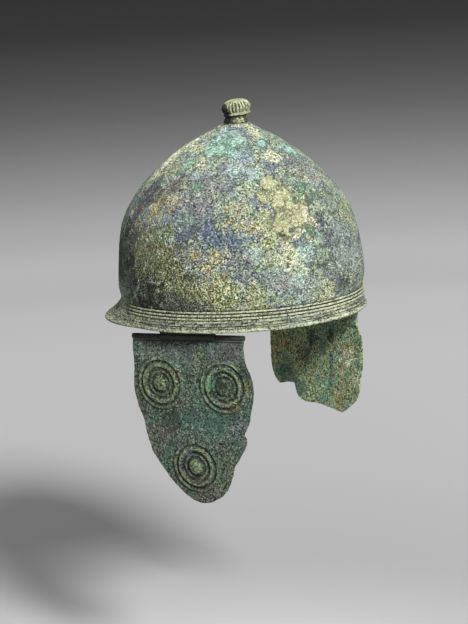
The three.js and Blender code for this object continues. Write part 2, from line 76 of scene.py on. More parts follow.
# one node tree and the one way to add a node to it
class Board:
    def __init__(self, tree):
        self.tree = tree

    def add(self, kind, settings=None, inputs=None, output=0):
        node = self.tree.nodes.new(kind)
        for name, value in (settings or {}).items():
            if name == "stops":
                ramp = node.color_ramp.elements
                while len(ramp) < len(value):
                    ramp.new(1)
                for element, (spot, colour) in zip(ramp, value):
                    element.position = spot
                    element.color = colour
            elif name == "curve":
                line = node.mapping.curves[0]
                while len(line.points) < len(value):
                    line.points.new(0.5, 0.5)
                for point, spot in zip(line.points, value):
                    point.location = spot
                node.mapping.update()
            else:
                setattr(node, name, value)
        for key, value in (inputs or {}).items():
            if isinstance(value, Wire):
                self.tree.links.new(value.socket, node.inputs[key])
            else:
                node.inputs[key].default_value = value
        return Wire(self, node.outputs[output]) if node.outputs else node

    def sum(self, operation, first, second):
        return self.add("ShaderNodeMath", {"operation": operation}, {0: first, 1: second})

    def mix(self, share, first, second, blend="MIX"):
        settings = {"data_type": "RGBA", "blend_type": blend}
        return self.add("ShaderNodeMix", settings, {0: share, 6: first, 7: second}, 2)

    def coats(self, colour, *coats):
        for share, shade in coats:
            colour = self.mix(share, colour, shade)
        return colour

    def vector(self, operation, first, second, output=0):
        return self.add("ShaderNodeVectorMath", {"operation": operation}, {0: first, 1: second}, output)

    def scaled(self, value, factor):
        return self.vector("MULTIPLY", value, (factor, factor, factor))

    def distance(self, place, centre):
        return self.vector("DISTANCE", place, centre, 1)

    def part(self, value, index):
        return self.add("ShaderNodeSeparateXYZ", None, {0: value}, index)

    def curve(self, points, value):
        return self.add("ShaderNodeFloatCurve", {"curve": points}, {"Value": value})

    def step(self, value, low, high, start=0.0, end=1.0):
        # eases from start to end between low and high, or the other way round where low is the higher
        if low > high:
            low, high, start, end = high, low, end, start
        return self.add("ShaderNodeMapRange", {"interpolation_type": "SMOOTHSTEP"},
                        {0: value, 1: low, 2: high, 3: start, 4: end})

    def grain(self, place, scale, detail=2.0, roughness=0.5, output=0):
        return self.add("ShaderNodeTexNoise", None,
                        {"Vector": place, "Scale": scale, "Detail": detail, "Roughness": roughness}, output)

    def mark(self, name):
        return self.add("ShaderNodeAttribute", {"attribute_name": name}, None, 2)

    def stored(self, name):
        return self.add("GeometryNodeInputNamedAttribute", {"data_type": "FLOAT"}, {"Name": name})

    def store(self, geometry, name, value):
        return self.add("GeometryNodeStoreNamedAttribute", {"data_type": "FLOAT", "domain": "POINT"},
                        {"Geometry": geometry, "Name": name, "Value": value})


def tone(red, green, blue):
    # a colour as it looks on a screen, 0 to 255, in linear light
    def linear(value):
        share = value / 255
        return share / 12.92 if share <= 0.04045 else ((share + 0.055) / 1.055) ** 2.4
    return (linear(red), linear(green), linear(blue), 1.0)


# meshes: points are in millimetres here and in metres in Blender
def makePiece(name, points, faces, marks=None, edges=()):
    mesh = bpy.data.meshes.new(name)
    mesh.from_pydata((np.asarray(points, float) * mm).tolist(), edges, faces)
    for mark, values in (marks or {}).items():
        layer = mesh.attributes.new(mark, "FLOAT", "POINT")
        layer.data.foreach_set("value", np.asarray(values, np.float32))
    mesh.shade_smooth()
    mesh.update()
    piece = bpy.data.objects.new(name, mesh)
    bpy.context.collection.objects.link(piece)
    return piece


def coordinates(piece):
    flat = np.empty(len(piece.data.vertices) * 3)
    piece.data.vertices.foreach_get("co", flat)
    return flat.reshape(-1, 3) / mm


def setPoints(piece, points):
    piece.data.vertices.foreach_set("co", (np.asarray(points) * mm).ravel())
    piece.data.update()


def closePoles(piece):
    # welds the doubled points where rings shrink to a point, all within a micrometre
    work, micrometre = bmesh.new(), 1e-6
    work.from_mesh(piece.data)
    bmesh.ops.remove_doubles(work, verts=work.verts, dist=micrometre)
    bmesh.ops.dissolve_degenerate(work, dist=micrometre / 10, edges=work.edges)
    work.to_mesh(piece.data)
    work.free()


def gridFaces(rows, columns, wrapRows=False, wrapColumns=True, start=0, flip=False):
    # the four-cornered faces of a grid of points, which may close on itself either way
    r = np.arange(rows if wrapRows else rows - 1)[:, None]
    c = np.arange(columns if wrapColumns else columns - 1)[None, :]
    down = (r + 1) % rows
    across = (c + 1) % columns
    quads = np.stack([r * columns + c + 0 * across, r * columns + across, down * columns + across,
                      down * columns + c], -1).reshape(-1, 4) + start
    return (quads[:, ::-1] if flip else quads).tolist()


def through(points, count, between=12):
    # a smooth line through the points, sampled at even steps of its length
    p = np.asarray(points, float)
    ends = np.vstack([2 * p[0] - p[1], p, 2 * p[-1] - p[-2]])
    parts = []
    t = np.arange(between)[:, None] / between
    for a, b, c, d in zip(ends, ends[1:], ends[2:], ends[3:]):
        parts.append(0.5 * (2 * b + (c - a) * t + (2 * a - 5 * b + 4 * c - d) * t ** 2
                            + (3 * b - a - 3 * c + d) * t ** 3))
    line = np.vstack(parts + [p[-1:]])
    length = np.r_[0, np.cumsum(np.linalg.norm(np.diff(line, axis=0), axis=1))]
    even = np.linspace(0, length[-1], count)
    return np.stack([np.interp(even, length, line[:, k]) for k in range(line.shape[1])], -1)


def rough(points, size, octaves, shift=0.0, fading=0.9, finer=2.1):
    # soft noise between about -1 and 1 at each point, for features of the given size
    offset = Vector((shift, shift, shift))
    return np.array([noise.fractal(Vector(p) / size + offset, fading, finer, octaves)
                     for p in np.asarray(points).tolist()])


def turns(count):
    # even turns all the way round, from the front
    return np.arange(count) / count * fullTurn


def turned(rows, count):
    # the points of rows that begin with a radius and a height, turned all the way round
    turn = turns(count)
    radius, height = rows[:, :1], rows[:, 1:2]
    return np.stack([radius * np.sin(turn), -radius * np.cos(turn), height + 0 * turn], -1).reshape(-1, 3)


def towards(heading, height):
    # the direction of a heading and a height above the horizon, in degrees
    turn, lift = math.radians(heading), math.radians(height)
    return Vector((math.sin(turn) * math.cos(lift), -math.cos(turn) * math.cos(lift), math.sin(lift)))


def applied(piece, tree, values):
    # runs a geometry tree on a piece and keeps the result as a plain mesh
    modifier = piece.modifiers.new("shape", "NODES")
    modifier.node_group = tree
    for socket in tree.interface.items_tree:
        if socket.item_type == "SOCKET" and socket.in_out == "INPUT" and socket.name in values:
            modifier[socket.identifier] = values[socket.name]
    piece.update_tag()
    bpy.context.view_layer.update()
    evaluated = piece.evaluated_get(bpy.context.evaluated_depsgraph_get())
    mesh = bpy.data.meshes.new_from_object(evaluated)
    piece.modifiers.remove(modifier)
    piece.data = mesh
    return piece


def geometryTree(name, sizes):
    # a tree that takes each size, and a finish
    kinds = {int: "Int", float: "Float", tuple: "Vector"}
    tree = bpy.data.node_groups.new(name, "GeometryNodeTree")
    for way in ("INPUT", "OUTPUT"):
        tree.interface.new_socket("Geometry", in_out=way, socket_type="NodeSocketGeometry")
    for label, value in sizes.items():
        kind = "NodeSocket" + kinds[type(value)]
        tree.interface.new_socket(label, in_out="INPUT", socket_type=kind).default_value = value
    tree.interface.new_socket("Finish", in_out="INPUT", socket_type="NodeSocketMaterial")
    board = Board(tree)
    entry = tree.nodes.new("NodeGroupInput")
    return board, {socket.name: Wire(board, socket) for socket in entry.outputs if socket.name}


def closeTree(board, geometry, finish):
    smooth = board.add("GeometryNodeSetShadeSmooth", None, {"Geometry": geometry})
    real = board.add("GeometryNodeRealizeInstances", None, {"Geometry": smooth})
    coated = board.add("GeometryNodeSetMaterial", None, {"Geometry": real, "Material": finish})
    board.add("NodeGroupOutput", None, {0: coated})
    return board.tree


# where the photograph was taken from: degrees, then metres, then the lens and sensor in millimetres
view = {"heading": 309.63, "height": 10.44, "roll": -3.277, "reach": 2.1188, "right": -0.007277,
        "up": -0.002307, "farthest": 20, "lens": 140.53, "sensor": 36}


def photoCamera():
    back = towards(view["heading"], view["height"])
    level = (-back).cross(Vector((0, 0, 1))).normalized()
    upright = level.cross(-back)
    roll = math.radians(view["roll"])
    right = level * math.cos(roll) + upright * math.sin(roll)
    up = upright * math.cos(roll) - level * math.sin(roll)
    lens = bpy.data.cameras.new("camera")
    lens.lens = view["lens"]
    lens.sensor_width = view["sensor"]
    lens.clip_end = view["farthest"]
    camera = bpy.data.objects.new("camera", lens)
    bpy.context.collection.objects.link(camera)
    place = right * view["right"] + up * view["up"] + back * view["reach"]
    camera.matrix_world = Matrix.Translation(place) @ Matrix((right, up, back)).transposed().to_4x4()
    bpy.context.scene.camera = camera


photoCamera()


def finishStart(name):
    material = bpy.data.materials.new(name)
    material.use_nodes = True
    material.node_tree.nodes.clear()
    board = Board(material.node_tree)
    return material, board, board.scaled(board.add("ShaderNodeTexCoord", output=3), 1 / mm)


def finishEnd(material, board, inputs):
    shader = board.add("ShaderNodeBsdfPrincipled", None, inputs)
    board.add("ShaderNodeOutputMaterial", None, {"Surface": shader})
    return material


def metalEnd(material, board, colour, roughness, height, depth):
    bump = board.add("ShaderNodeBump", None, {"Height": height, "Strength": 1.0, "Distance": depth * mm})
    return finishEnd(material, board,
                     {"Base Color": colour, "Roughness": roughness, "Normal": bump, "IOR": 1.4})


def bent(board, place, size, reach, detail):
    # the same place, pushed about by soft noise, so that round patches get ragged edges
    push = board.vector("SUBTRACT", board.grain(place, 1 / size, detail, 0.6, 1), (0.5, 0.5, 0.5))
    return board.vector("ADD", place, board.scaled(push, reach))


# the radius above which a patch bends widely, how smooth a paint has to be to calm the grain or to end in a
# dark line, and where that line lies
patchRules = {"wide": 14, "calm": 0.3, "lined": 0.6, "line": 0.47, "lineWidth": 0.06}


def layered(board, wide, near, breaks, colour, patches):
    # lays ragged patches over a colour; also gives how smooth the surface is and where the patches end
    rules = patchRules
    calm, lines = 0.0, 0.0
    pushes = {ragged: 1 + breaks * (2.0 * ragged) for ragged in sorted({paint[3] for paint in paints.values()})}
    for paint, *centre, radius in patches:
        red, green, blue, ragged, soft, share, smooth = paints[paint]
        distance = board.distance(wide if radius > rules["wide"] else near, centre)
        within = board.add("ShaderNodeMath", {"operation": "MULTIPLY_ADD"},
                           {0: distance, 1: -0.5 / radius, 2: pushes[ragged]})
        cover = board.step(within, 0.5 - soft, 0.5 + soft, 0.0, share)
        colour = board.mix(cover, colour, tone(red, green, blue))
        if smooth >= rules["calm"]:
            calm = board.sum("MAXIMUM", calm, cover * smooth)
        if smooth >= rules["lined"]:
            line = board.add("ShaderNodeMath", {"operation": "COMPARE"},
                             {0: within, 1: rules["line"], 2: rules["lineWidth"]})
            lines = board.sum("MAXIMUM", lines, line)
    return colour, calm, lines


def grit(board, place, size):
    # a number of its own for every grain
    moved = bent(board, place, size * 1.5, size * 1.2, 2)
    return board.part(board.add("ShaderNodeTexVoronoi", None, {"Vector": moved, "Scale": 1 / size}, 1), 0)


# each paint: red, green, blue, raggedness and softness of its edge, share, and how smooth the surface is there
paints = {
    "cream": (170, 174, 140, 1.0, 0.1, 0.8, 0),
    "crust": (156, 157, 118, 0.7, 0.03, 0.9, 0.8),
    "straw": (138, 140, 98, 1.3, 0.12, 0.75, 0),
    "moss": (80, 96, 64, 1.2, 0.14, 0.6, 0),
    "olive": (90, 94, 48, 1.3, 0.12, 0.85, 0),
    "ochre": (130, 116, 76, 1.3, 0.1, 0.6, 0),
    "rust": (124, 90, 60, 0.9, 0.1, 0.7, 0),
    "turquoise": (138, 176, 162, 1.0, 0.1, 0.85, 0.85),
    "green": (92, 132, 104, 1.0, 0.04, 0.85, 0.7),
    "flake": (112, 130, 112, 0.7, 0.04, 0.85, 0.6),
    "cyan": (136, 158, 148, 1.2, 0.12, 0.7, 0.5),
    "yellow": (148, 142, 88, 1.3, 0.08, 0.65, 0),
    "sky": (116, 134, 152, 1.1, 0.1, 0.75, 0.55),
    "haze": (94, 103, 101, 1.2, 0.1, 0.85, 0),
    "blue": (76, 90, 102, 1.2, 0.12, 0.85, 0),
    "mist": (132, 142, 134, 1.2, 0.12, 0.75, 0.3),
    # the next paint, near black, is painted shade down the dome's left side and in the crease over the neck
    # guard; on one cheek roundel's boss it is partly its dark colour, partly painted shade
    "dusk": (26, 33, 23, 1.0, 0.16, 0.9, 0),
    "plum": (103, 104, 104, 1.3, 0.1, 0.7, 0),
    "night": (56, 60, 66, 1.0, 0.1, 0.7, 0),
    "pine": (56, 68, 54, 1.0, 0.12, 0.85, 0),
    "teal": (60, 90, 78, 1.0, 0.14, 0.75, 0.8),
    "slate": (84, 87, 83, 0.8, 0.14, 0.7, 0.75),
    "umber": (84, 80, 72, 1.0, 0.1, 0.7, 0),
    "chalk": (206, 204, 178, 1.0, 0.1, 0.75, 0),
}
# near and wide: size, reach and detail of a bend; breaks, clouds, drifts and hues: scale, detail and roughness
# of a noise; a fade: where it starts and where it is complete
bowlFinish = {
    "ground": tone(124, 138, 116), "second": tone(98, 110, 110), "third": tone(142, 147, 108),
    # worn is also the pale paint of the bead's and the ridges' crests: wear and a painted highlight
    "dark": tone(30, 33, 28), "pale": tone(200, 204, 176), "worn": tone(212, 216, 180),
    "band": tone(160, 168, 138), "line": tone(66, 72, 50),
    "inside": tone(74, 80, 56), "insideSecond": tone(92, 104, 82),
    "near": (8, 7, 4), "wide": (34, 20, 2), "breaks": (0.15, 4, 0.66), "ragged": 1.05,
    "clouds": (0.06, 4, 0.62), "cloudFade": (0.44, 0.56),
    "drifts": (0.08, 5, 0.64), "driftFade": (0.5, 0.62), "driftShare": 0.65,
    "hues": (0.07, 4, 0.66), "hueShare": 0.32,
    "grain": 1.0, "level": 1.17, "contrast": 3.5, "even": 0.6, "flecks": 0.65, "relief": 2.0,
    "ruggedAt": (-102, -20, 30), "ruggedFade": (70, 30), "bandFade": (13, 10), "along": (0.14, 0.14, 1.0),
}
# paint, place and radius, in millimetres: broad fields first, then crusts and flakes
bowlPatches = [
    ("haze", -92, -38, 80, 30), ("plum", -72, -26, 118, 24), ("plum", 2, -64, 128, 18),
    ("olive", -104, 5, 56, 26), ("olive", -103, -22, 34, 24), ("olive", -95, -50, 28, 18),
    ("straw", -78, -73, 27, 15), ("haze", -45, -96, 42, 20), ("haze", 4, -104, 58, 24),
    ("straw", -58, -82, 82, 16), ("pine", -98, 46, 36, 22), ("pine", -88, 58, 62, 22),
    ("ochre", -84, 10, 104, 14), ("night", -78, 36, 106, 12), ("pine", -104, -8, 24, 13),
    # the cream chain on these two lines follows the crown's upper left edge: partly crust, partly painted
    # highlight
    ("cream", -56, 40, 126, 9), ("cream", -50, 33, 133, 8), ("cream", -40, 28, 141, 8),
    ("cream", -33, 20, 147, 8), ("cream", -26, 14, 153, 8), ("cream", -42, 5, 145, 9),
    ("ochre", -54, 36, 129, 4), ("turquoise", -41, -13, 145, 10), ("turquoise", -35, -21, 147, 11),
    ("turquoise", -24, -25, 151, 9), ("sky", -34, -38, 140, 9), ("cyan", -18, -19, 155, 7),
    ("cyan", -49, -39, 131, 7), ("green", -61, 4, 132, 7), ("green", -73, -18, 119, 4),
    ("green", -76, -19, 116, 3), ("cream", -53, -10, 136, 6), ("turquoise", -10, -38, 148, 6),
    ("turquoise", 14, -50, 139, 8), ("turquoise", 4, -46, 143, 5), ("cream", -2, -26, 156, 7),
    ("cream", -12, -54, 137, 7), ("crust", -38, -67, 118, 9), ("crust", -35, -80, 105, 12),
    ("crust", -29, -89, 94, 12), ("crust", -44, -86, 88, 10), ("straw", -50, -86, 79, 8),
    ("cyan", -40, -55, 126, 8), ("flake", -13, -76, 117, 8), ("green", -12, -80, 112, 5),
    ("green", -6, -82, 110, 4), ("rust", -13, -87, 103, 3), ("teal", -1, -87, 105, 5),
    ("yellow", 9, -88, 104, 4), ("night", -9, -97, 86, 6), ("flake", -27, -97, 77, 6),
    ("green", -24, -98, 78, 4), ("flake", -18, -102, 70, 6), ("night", -50, -88, 77, 3),
    ("blue", -82, -59, 76, 9), ("blue", -89, -45, 79, 9), ("slate", -96, -26, 82, 7),
    ("straw", -70, -56, 102, 8), ("straw", -79, -56, 87, 7), ("straw", -67, -71, 86, 7),
    ("yellow", -84, -47, 89, 3), ("yellow", -99, -34, 66, 4), ("yellow", -92, -49, 63, 6),
    ("yellow", -96, -45, 52, 7), ("yellow", -92, -55, 44, 6), ("pine", -102, -30, 48, 5),
    ("pine", -107, 14, 29, 9), ("cyan", -71, -76, 65, 7), ("cyan", -40, -98, 56, 9),
    ("flake", -17, -104, 56, 8), ("pine", 8, -107, 34, 9), ("straw", -20, -106, 29, 13),
    ("straw", 36, -93, 84, 10), ("green", 35, -92, 86, 4), ("rust", -87, 38, 91, 4), ("rust", -85, 34, 99, 3),
    ("yellow", -88, 30, 84, 6), ("yellow", -86, 16, 100, 6), ("turquoise", -36, -30, 143, 9),
    ("cyan", -33, -2, 151, 7), ("cyan", -65, -14, 128, 5), ("cream", -36, 33, 141, 8),
    ("night", -72, 30, 117, 9), ("night", -80, 22, 110, 8), ("plum", -75, 6, 119, 8),
    # the near black patches on these two lines, and the night patch, are painted shade down the dome's left side
    # and in the crease over the neck guard
    ("dusk", -106, 8, 30, 11), ("dusk", -105, 18, 42, 9), ("dusk", -103, 20, 22, 9), ("dusk", -106, 8, 20, 8),
    ("dusk", -99, 35, 54, 9), ("dusk", -94, 39, 76, 7), ("night", -86, 43, 88, 10), ("cream", -88, 60, 26, 9),
    ("cream", -86, 63, 14, 9), ("straw", -92, -54, 27, 9), ("straw", -96, -42, 42, 9),
    ("pine", -98, -40, 20, 7), ("cream", -42, 35, 137, 8), ("turquoise", -30, -10, 151, 8),
    ("cyan", -20, -3, 157, 8), ("cream", 0, -10, 161, 7), ("cyan", -56, 4, 135, 7),
    ("plum", -80, -68, 55, 10), ("cream", -35, -101, 14, 8), ("cream", -22, -95, 87, 6),
    ("crust", -47, -71, 109, 7), ("straw", -76, -62, 86, 8), ("mist", 8, -106, 50, 13),
    ("mist", -56, -91, 40, 10), ("mist", -35, -101, 32, 13), ("mist", 28, -103, 48, 10),
    ("cream", -35, -94, 80, 7), ("cream", -49, -92, 61, 9), ("cyan", -32, -100, 61, 8),
    ("cream", -43, -98, 46, 9), ("cyan", -45, -98, 40, 8), ("cream", -16, -106, 14, 10),
    ("cream", 6, -107, 11, 9), ("blue", -88, -43, 84, 8), ("blue", -81, -60, 78, 8),
    ("blue", -96, -24, 84, 9), ("flake", 15, -92, 97, 9), ("teal", -10, -88, 104, 4),
    ("cream", -102, 30, 6, 9), ("plum", -104, 6, 9, 8), ("cyan", -36, -102, 8, 14), ("cyan", 0, -108, 8, 12),
    ("slate", -88, -60, 9, 8), ("olive", -101, 31, 66, 7), ("pine", -101, 30, 48, 8),
    # the near black patches on this line are painted shade on the dome's left side
    ("dusk", -101, 33, 40, 5), ("olive", -103, 23, 50, 6), ("dusk", -84, 52, 82, 9),
    ("umber", -93, 36, 80, 7), ("ochre", -90, 36, 88, 4), ("rust", -97, 34, 64, 3), ("mist", -92, 51, 28, 9),
    ("moss", -93, 51, 42, 7), ("mist", 13, -103, 69, 8), ("plum", 19, -89, 101, 7), ("haze", -85, -62, 59, 7),
    ("umber", -75, 2, 119, 7), ("cream", -12, -106, 13, 8), ("haze", -10, -107, 40, 7),
    # the chalk patches at the end of this line and the first one on the next lie along the crown's upper left
    # edge too: partly crust, partly painted highlight
    ("cream", -28, -99, 71, 4), ("chalk", -36, 33, 141, 7), ("chalk", -47, 36, 133, 6),
    ("chalk", -27, 22, 149, 6), ("chalk", 2, -107, 9, 8), ("pine", -103, -27, 23, 7),
    # the two near black patches on this line are painted shade on the dome's left side and in the crease over
    # the neck guard
    ("dusk", -105, 18, 32, 7), ("dusk", -99, 36, 56, 5), ("pine", -95, 34, 76, 6), ("haze", 98, -16, 70, 30),
    ("straw", 80, 42, 96, 26), ("pine", 20, 96, 66, 34), ("turquoise", -30, 84, 104, 17),
    ("olive", 62, 84, 44, 26), ("crust", 6, 62, 130, 13), ("green", 46, 70, 108, 9),
    ("crust", 78, -34, 104, 12), ("ochre", -40, 98, 40, 20),
]


# two sizes of grain and a cloud, weighed; then where flecks and pits begin
grainRules = {"large": 1.9, "weights": (0.6, 0.08, 0.9), "low": 0.29, "fleckFade": (0.72, 0.78),
              "pitFade": (0.28, 0.22), "pits": 0.4, "darkest": 0.16, "paler": 0.2}


def grained(board, place, colour, size, lively):
    # breaks a colour up into grains of several sizes; gives their height as well
    rules = grainRules
    small = grit(board, place, size["grain"])
    large = grit(board, place, size["grain"] * rules["large"])
    cloud = board.grain(place, 1.0 / size["grain"], 2, 0.6)
    crowd = board.grain(place, 0.08, 4, 0.65) - 0.5
    first, second, third = rules["weights"]
    value = small * first + large * second + cloud * third - rules["low"]
    flecks = board.step(value + crowd * 0.7, *rules["fleckFade"])
    pits = board.step(value - crowd * 0.6, *rules["pitFade"])
    shade = size["level"] + lively * (
        (value - 0.5) * size["contrast"] + flecks * size["flecks"] - pits * rules["pits"])
    # a share of each grain's light or shade is grey, so that the hue stays even from grain to grain
    swing = board.sum("MAXIMUM", shade, rules["darkest"]) - 1
    grey = board.add("ShaderNodeRGBToBW", None, {0: colour}) * swing * size["even"]
    colour = board.mix(1.0, colour, 1 + swing * (1 - size["even"]), "MULTIPLY")
    colour = board.mix(1.0, colour, grey, "ADD")
    colour = board.mix(1.0, colour, tone(23, 24, 19), "LIGHTEN")
    return board.mix(flecks * lively * rules["paler"], colour, size["pale"]), value


def weathered(board, place, size, patches):
    # clouds and drifts of two colours, the patches over them, and a little of every hue over it all
    near = bent(board, place, *size["near"])
    wide = bent(board, near, *size["wide"])
    breaks = (board.grain(place, *size["breaks"]) - 0.5) * size["ragged"]
    clouds = board.step(board.grain(wide, *size["clouds"]), *size["cloudFade"])
    drifts = board.step(board.grain(place, *size["drifts"]), *size["driftFade"]) * size["driftShare"]
    colour = board.coats(size["ground"], (clouds, size["second"]), (drifts, size["third"]))
    colour, calm, lines = layered(board, wide, near, breaks, colour, patches)
    colour = board.mix(size["hueShare"], colour, board.grain(wide, *size["hues"], output=1), "OVERLAY")
    return colour, calm, lines, wide, breaks


def bowlPatina():
    material, board, place = finishStart("bowlPatina")
    size = bowlFinish
    colour, calm, lines, wide, breaks = weathered(board, place, size, bowlPatches)
    rugged = board.step(board.distance(place, size["ruggedAt"]), *size["ruggedFade"])
    colour, value = grained(board, place, colour, size, 1 + rugged * 0.5 - calm * 0.75)

    # streaks along the rim's band, dark furrows between the ridges, and pale crests on the bead and the ridges:
    # partly wear, partly a painted highlight
    streak = board.grain(board.vector("MULTIPLY", place, size["along"]), 0.8, 5, 0.75) + (value - 0.5) * 0.16
    band = board.step(board.part(place, 2) + breaks * 8, *size["bandFade"])
    colour = board.coats(
        colour, (lines * 0.7, size["line"]), (band * 0.4, size["band"]),
        (band * board.step(streak, 0.48, 0.41) * 0.92, size["dark"]),
        (band * board.step(streak, 0.52, 0.6) * 0.7, size["worn"]),
        (board.mark("hollow") * board.step(value, 1.2, 0.8) * 0.95, size["dark"]),
        (board.mark("crest") * board.step(value, 0.15, 0.6) * 0.75, size["worn"]))

    clouds = board.step(board.grain(wide, 0.08, 6, 0.7), 0.46, 0.56)
    inner = board.mix(clouds, size["inside"], size["insideSecond"])
    inner = board.mix(1.0, inner, 0.4 + value * 1.2, "MULTIPLY")
    colour = board.mix(board.mark("inside"), colour, inner)
    relief = board.sum("MINIMUM", board.sum("MAXIMUM", value, 0.1), 0.9)
    relief = relief - calm * (relief - 0.8) * 0.7 + board.grain(place, 0.2, 7, 0.72) * 2.4
    return metalEnd(material, board, colour, 0.84 - calm * 0.14, relief, size["relief"])


knobFinish = {"ground": tone(128, 132, 102), "pale": tone(164, 167, 134), "groove": tone(30, 30, 22),
              "neck": tone(40, 42, 32), "shadow": tone(16, 18, 13), "relief": 0.6,
              "neckShadeFade": (171.0, 169.8), "footFade": (169.0, 167.0),
              "shadowAt": (-12, 9, 168), "shadowFade": (16.5, 14.5)}


def knobPatina():
    material, board, place = finishStart("knobPatina")
    size = knobFinish
    fine = board.grain(place, 0.9, 4, 0.7)
    broad = board.grain(place, 0.2, 4, 0.7)
    height = board.part(place, 2)
    # the neck below the flange is darkened: partly its patina, partly painted shade under the cap
    neck = board.step(height + (broad - 0.5) * 5, *size["neckShadeFade"])
    foot = board.step(height, *size["footFade"]) * board.step(broad + (fine - 0.5) * 0.6, 0.5, 0.62)
    colour = board.coats(size["ground"], (board.step(broad, 0.48, 0.58), size["pale"]),
                         (neck * 0.9, size["neck"]), (foot * 0.8, size["pale"]))
    colour = board.mix(1.0, colour, 0.3 + fine * 1.4, "MULTIPLY")
    furrow = board.mark("groove") + (board.grain(place, 0.35, 4, 0.75) - 0.5) * 2.4
    behind = board.distance(place, size["shadowAt"]) + (fine - 0.5) * 9
    colour = board.coats(colour, (board.step(fine, 0.47, 0.38) * 0.8, size["shadow"]),
                         (board.step(furrow, 0.25, 0.6) * 0.85, size["groove"]),
                         (board.step(behind, *size["shadowFade"]) * 0.97, size["shadow"]))
    return metalEnd(material, board, colour, 0.8 + fine * 0.1, fine, size["relief"])


# the hinge line on the wearer's left; the right one mirrors it
hingeSize = {"middle": (87.248, -10.8, -7.35), "forward": (-0.1425, -0.98935, 0.02814), "length": 110.17,
             "bore": 1.2, "barrel": 2.35, "worn": 0.12, "leaf": 55.0, "gap": 0.3, "sides": 40, "rings": 30}
hingeForward = np.array(hingeSize["forward"]) / np.linalg.norm(hingeSize["forward"])
hingeOutward = np.cross((0, 0, 1), hingeForward)
hingeOutward /= np.linalg.norm(hingeOutward)
hingeUpward = np.cross(hingeForward, hingeOutward)


cheekFinish = {
    "ground": tone(82, 94, 82), "second": tone(68, 92, 80), "third": tone(90, 92, 84),
    "dark": tone(24, 28, 24), "pale": tone(170, 174, 130), "raised": tone(126, 140, 94),
    "near": (7, 7, 4), "wide": (26, 16, 2), "breaks": (0.14, 6, 0.7), "ragged": 1.0,
    "clouds": (0.06, 6, 0.66), "cloudFade": (0.46, 0.54),
    "drifts": (0.09, 6, 0.68), "driftFade": (0.5, 0.58), "driftShare": 0.7,
    "hues": (0.08, 6, 0.7), "hueShare": 0.32,
    "grain": 1.2, "level": 1.24, "contrast": 3.7, "even": 0.3, "flecks": 0.9, "relief": 2.6,
    "bossAt": (88, -45, -47), "bossFade": (5, 8),
}
# the far cheek piece is painted lighter all over than the near one: painted light, for light that the bowl keeps
# off its inner face
leftFinishPaintedLight = dict(cheekFinish, ground=tone(130, 146, 102), second=tone(104, 134, 104),
                  third=tone(138, 136, 92), level=1.6, contrast=4.2, flecks=0.8)
rightPatches = [
    ("slate", -89, -11, -16, 16), ("slate", -84, -50, -16, 14), ("slate", -94, 27, -18, 10),
    ("moss", -96, 15, -46, 16), ("umber", -92, 23, -92, 10), ("pine", -91, 12, -80, 10),
    ("teal", -86, -23, -78, 17), ("teal", -85, -38, -80, 11), ("haze", -82, -56, -84, 10),
    ("moss", -82, -42, -112, 10), ("umber", -86, -12, -140, 11), ("haze", -88, -2, -104, 8),
    # the near black patch at the end of this line darkens one roundel's boss: partly its dark colour, partly
    # painted shade
    ("moss", -88, -22, -26, 8), ("green", -88, -31, -45, 7), ("dusk", -88, -45, -47, 6),
    ("olive", -84, -54, -66, 5), ("olive", -84, -66, -46, 5), ("moss", -95, 38, -60, 7),
    ("night", -84, -56, -72, 5), ("moss", -84, -34, -132, 7), ("pine", -82, -62, -34, 7),
    ("night", -86, -12, -70, 5), ("night", -88, 4, -120, 6),
]
leftPatches = [
    ("teal", 91, 26, -76, 14), ("ochre", 95, 34, -48, 9), ("straw", 93, 40, -61, 7), ("umber", 88, 2, -58, 9),
    ("pine", 88, -8, -40, 7), ("pine", 84, -30, -36, 6), ("straw", 94, 36, -53, 7), ("teal", 86, -20, -50, 7),
    ("cream", 82, -51, -54, 8), ("cream", 81, -60, -72, 7), ("straw", 80, -44, -84, 10),
    ("ochre", 80, -40, -94, 6), ("straw", 90, 12, -68, 7), ("green", 85, -24, -80, 6),
    ("green", 85, -21, -92, 5), ("teal", 88, 10, -90, 9), ("umber", 90, 34, -92, 6), ("rust", 93, 25, -50, 3),
    ("rust", 82, -50, -44, 2), ("night", 84, -31, -56, 3), ("night", 84, -31, -64, 3),
    ("night", 84, -31, -72, 3), ("night", 84, -30, -80, 3), ("night", 84, -30, -89, 3),
]


# heights over the hinge's axis at which the painted shadow under the barrel and the painted highlight on the
# sheet's edge below it fade
hingeShadeAndHighlight = {"furrow": (-4.8, -3.6), "highlightFoot": (-2.9, -2.5), "highlightTop": (-1.9, -2.2),
             "dark": tone(46, 48, 42), "highlight": tone(128, 130, 108)}


def paintHingeShadeAndHighlight(board, place, colour, side):
    # a painted shadow under the hinge's barrel and a painted highlight on the sheet's edge just below it
    line = hingeShadeAndHighlight
    offset = board.vector("SUBTRACT", place, (np.array(hingeSize["middle"]) * (side, 1, 1)).tolist())
    height = board.vector("DOT_PRODUCT", offset, (hingeUpward * (side, 1, 1)).tolist(), 1)
    edge = board.step(height, *line["highlightFoot"]) * board.step(height, *line["highlightTop"])
    return board.coats(colour, (board.step(height, *line["furrow"]) * 0.85, line["dark"]),
                       (edge * 0.75, line["highlight"]))


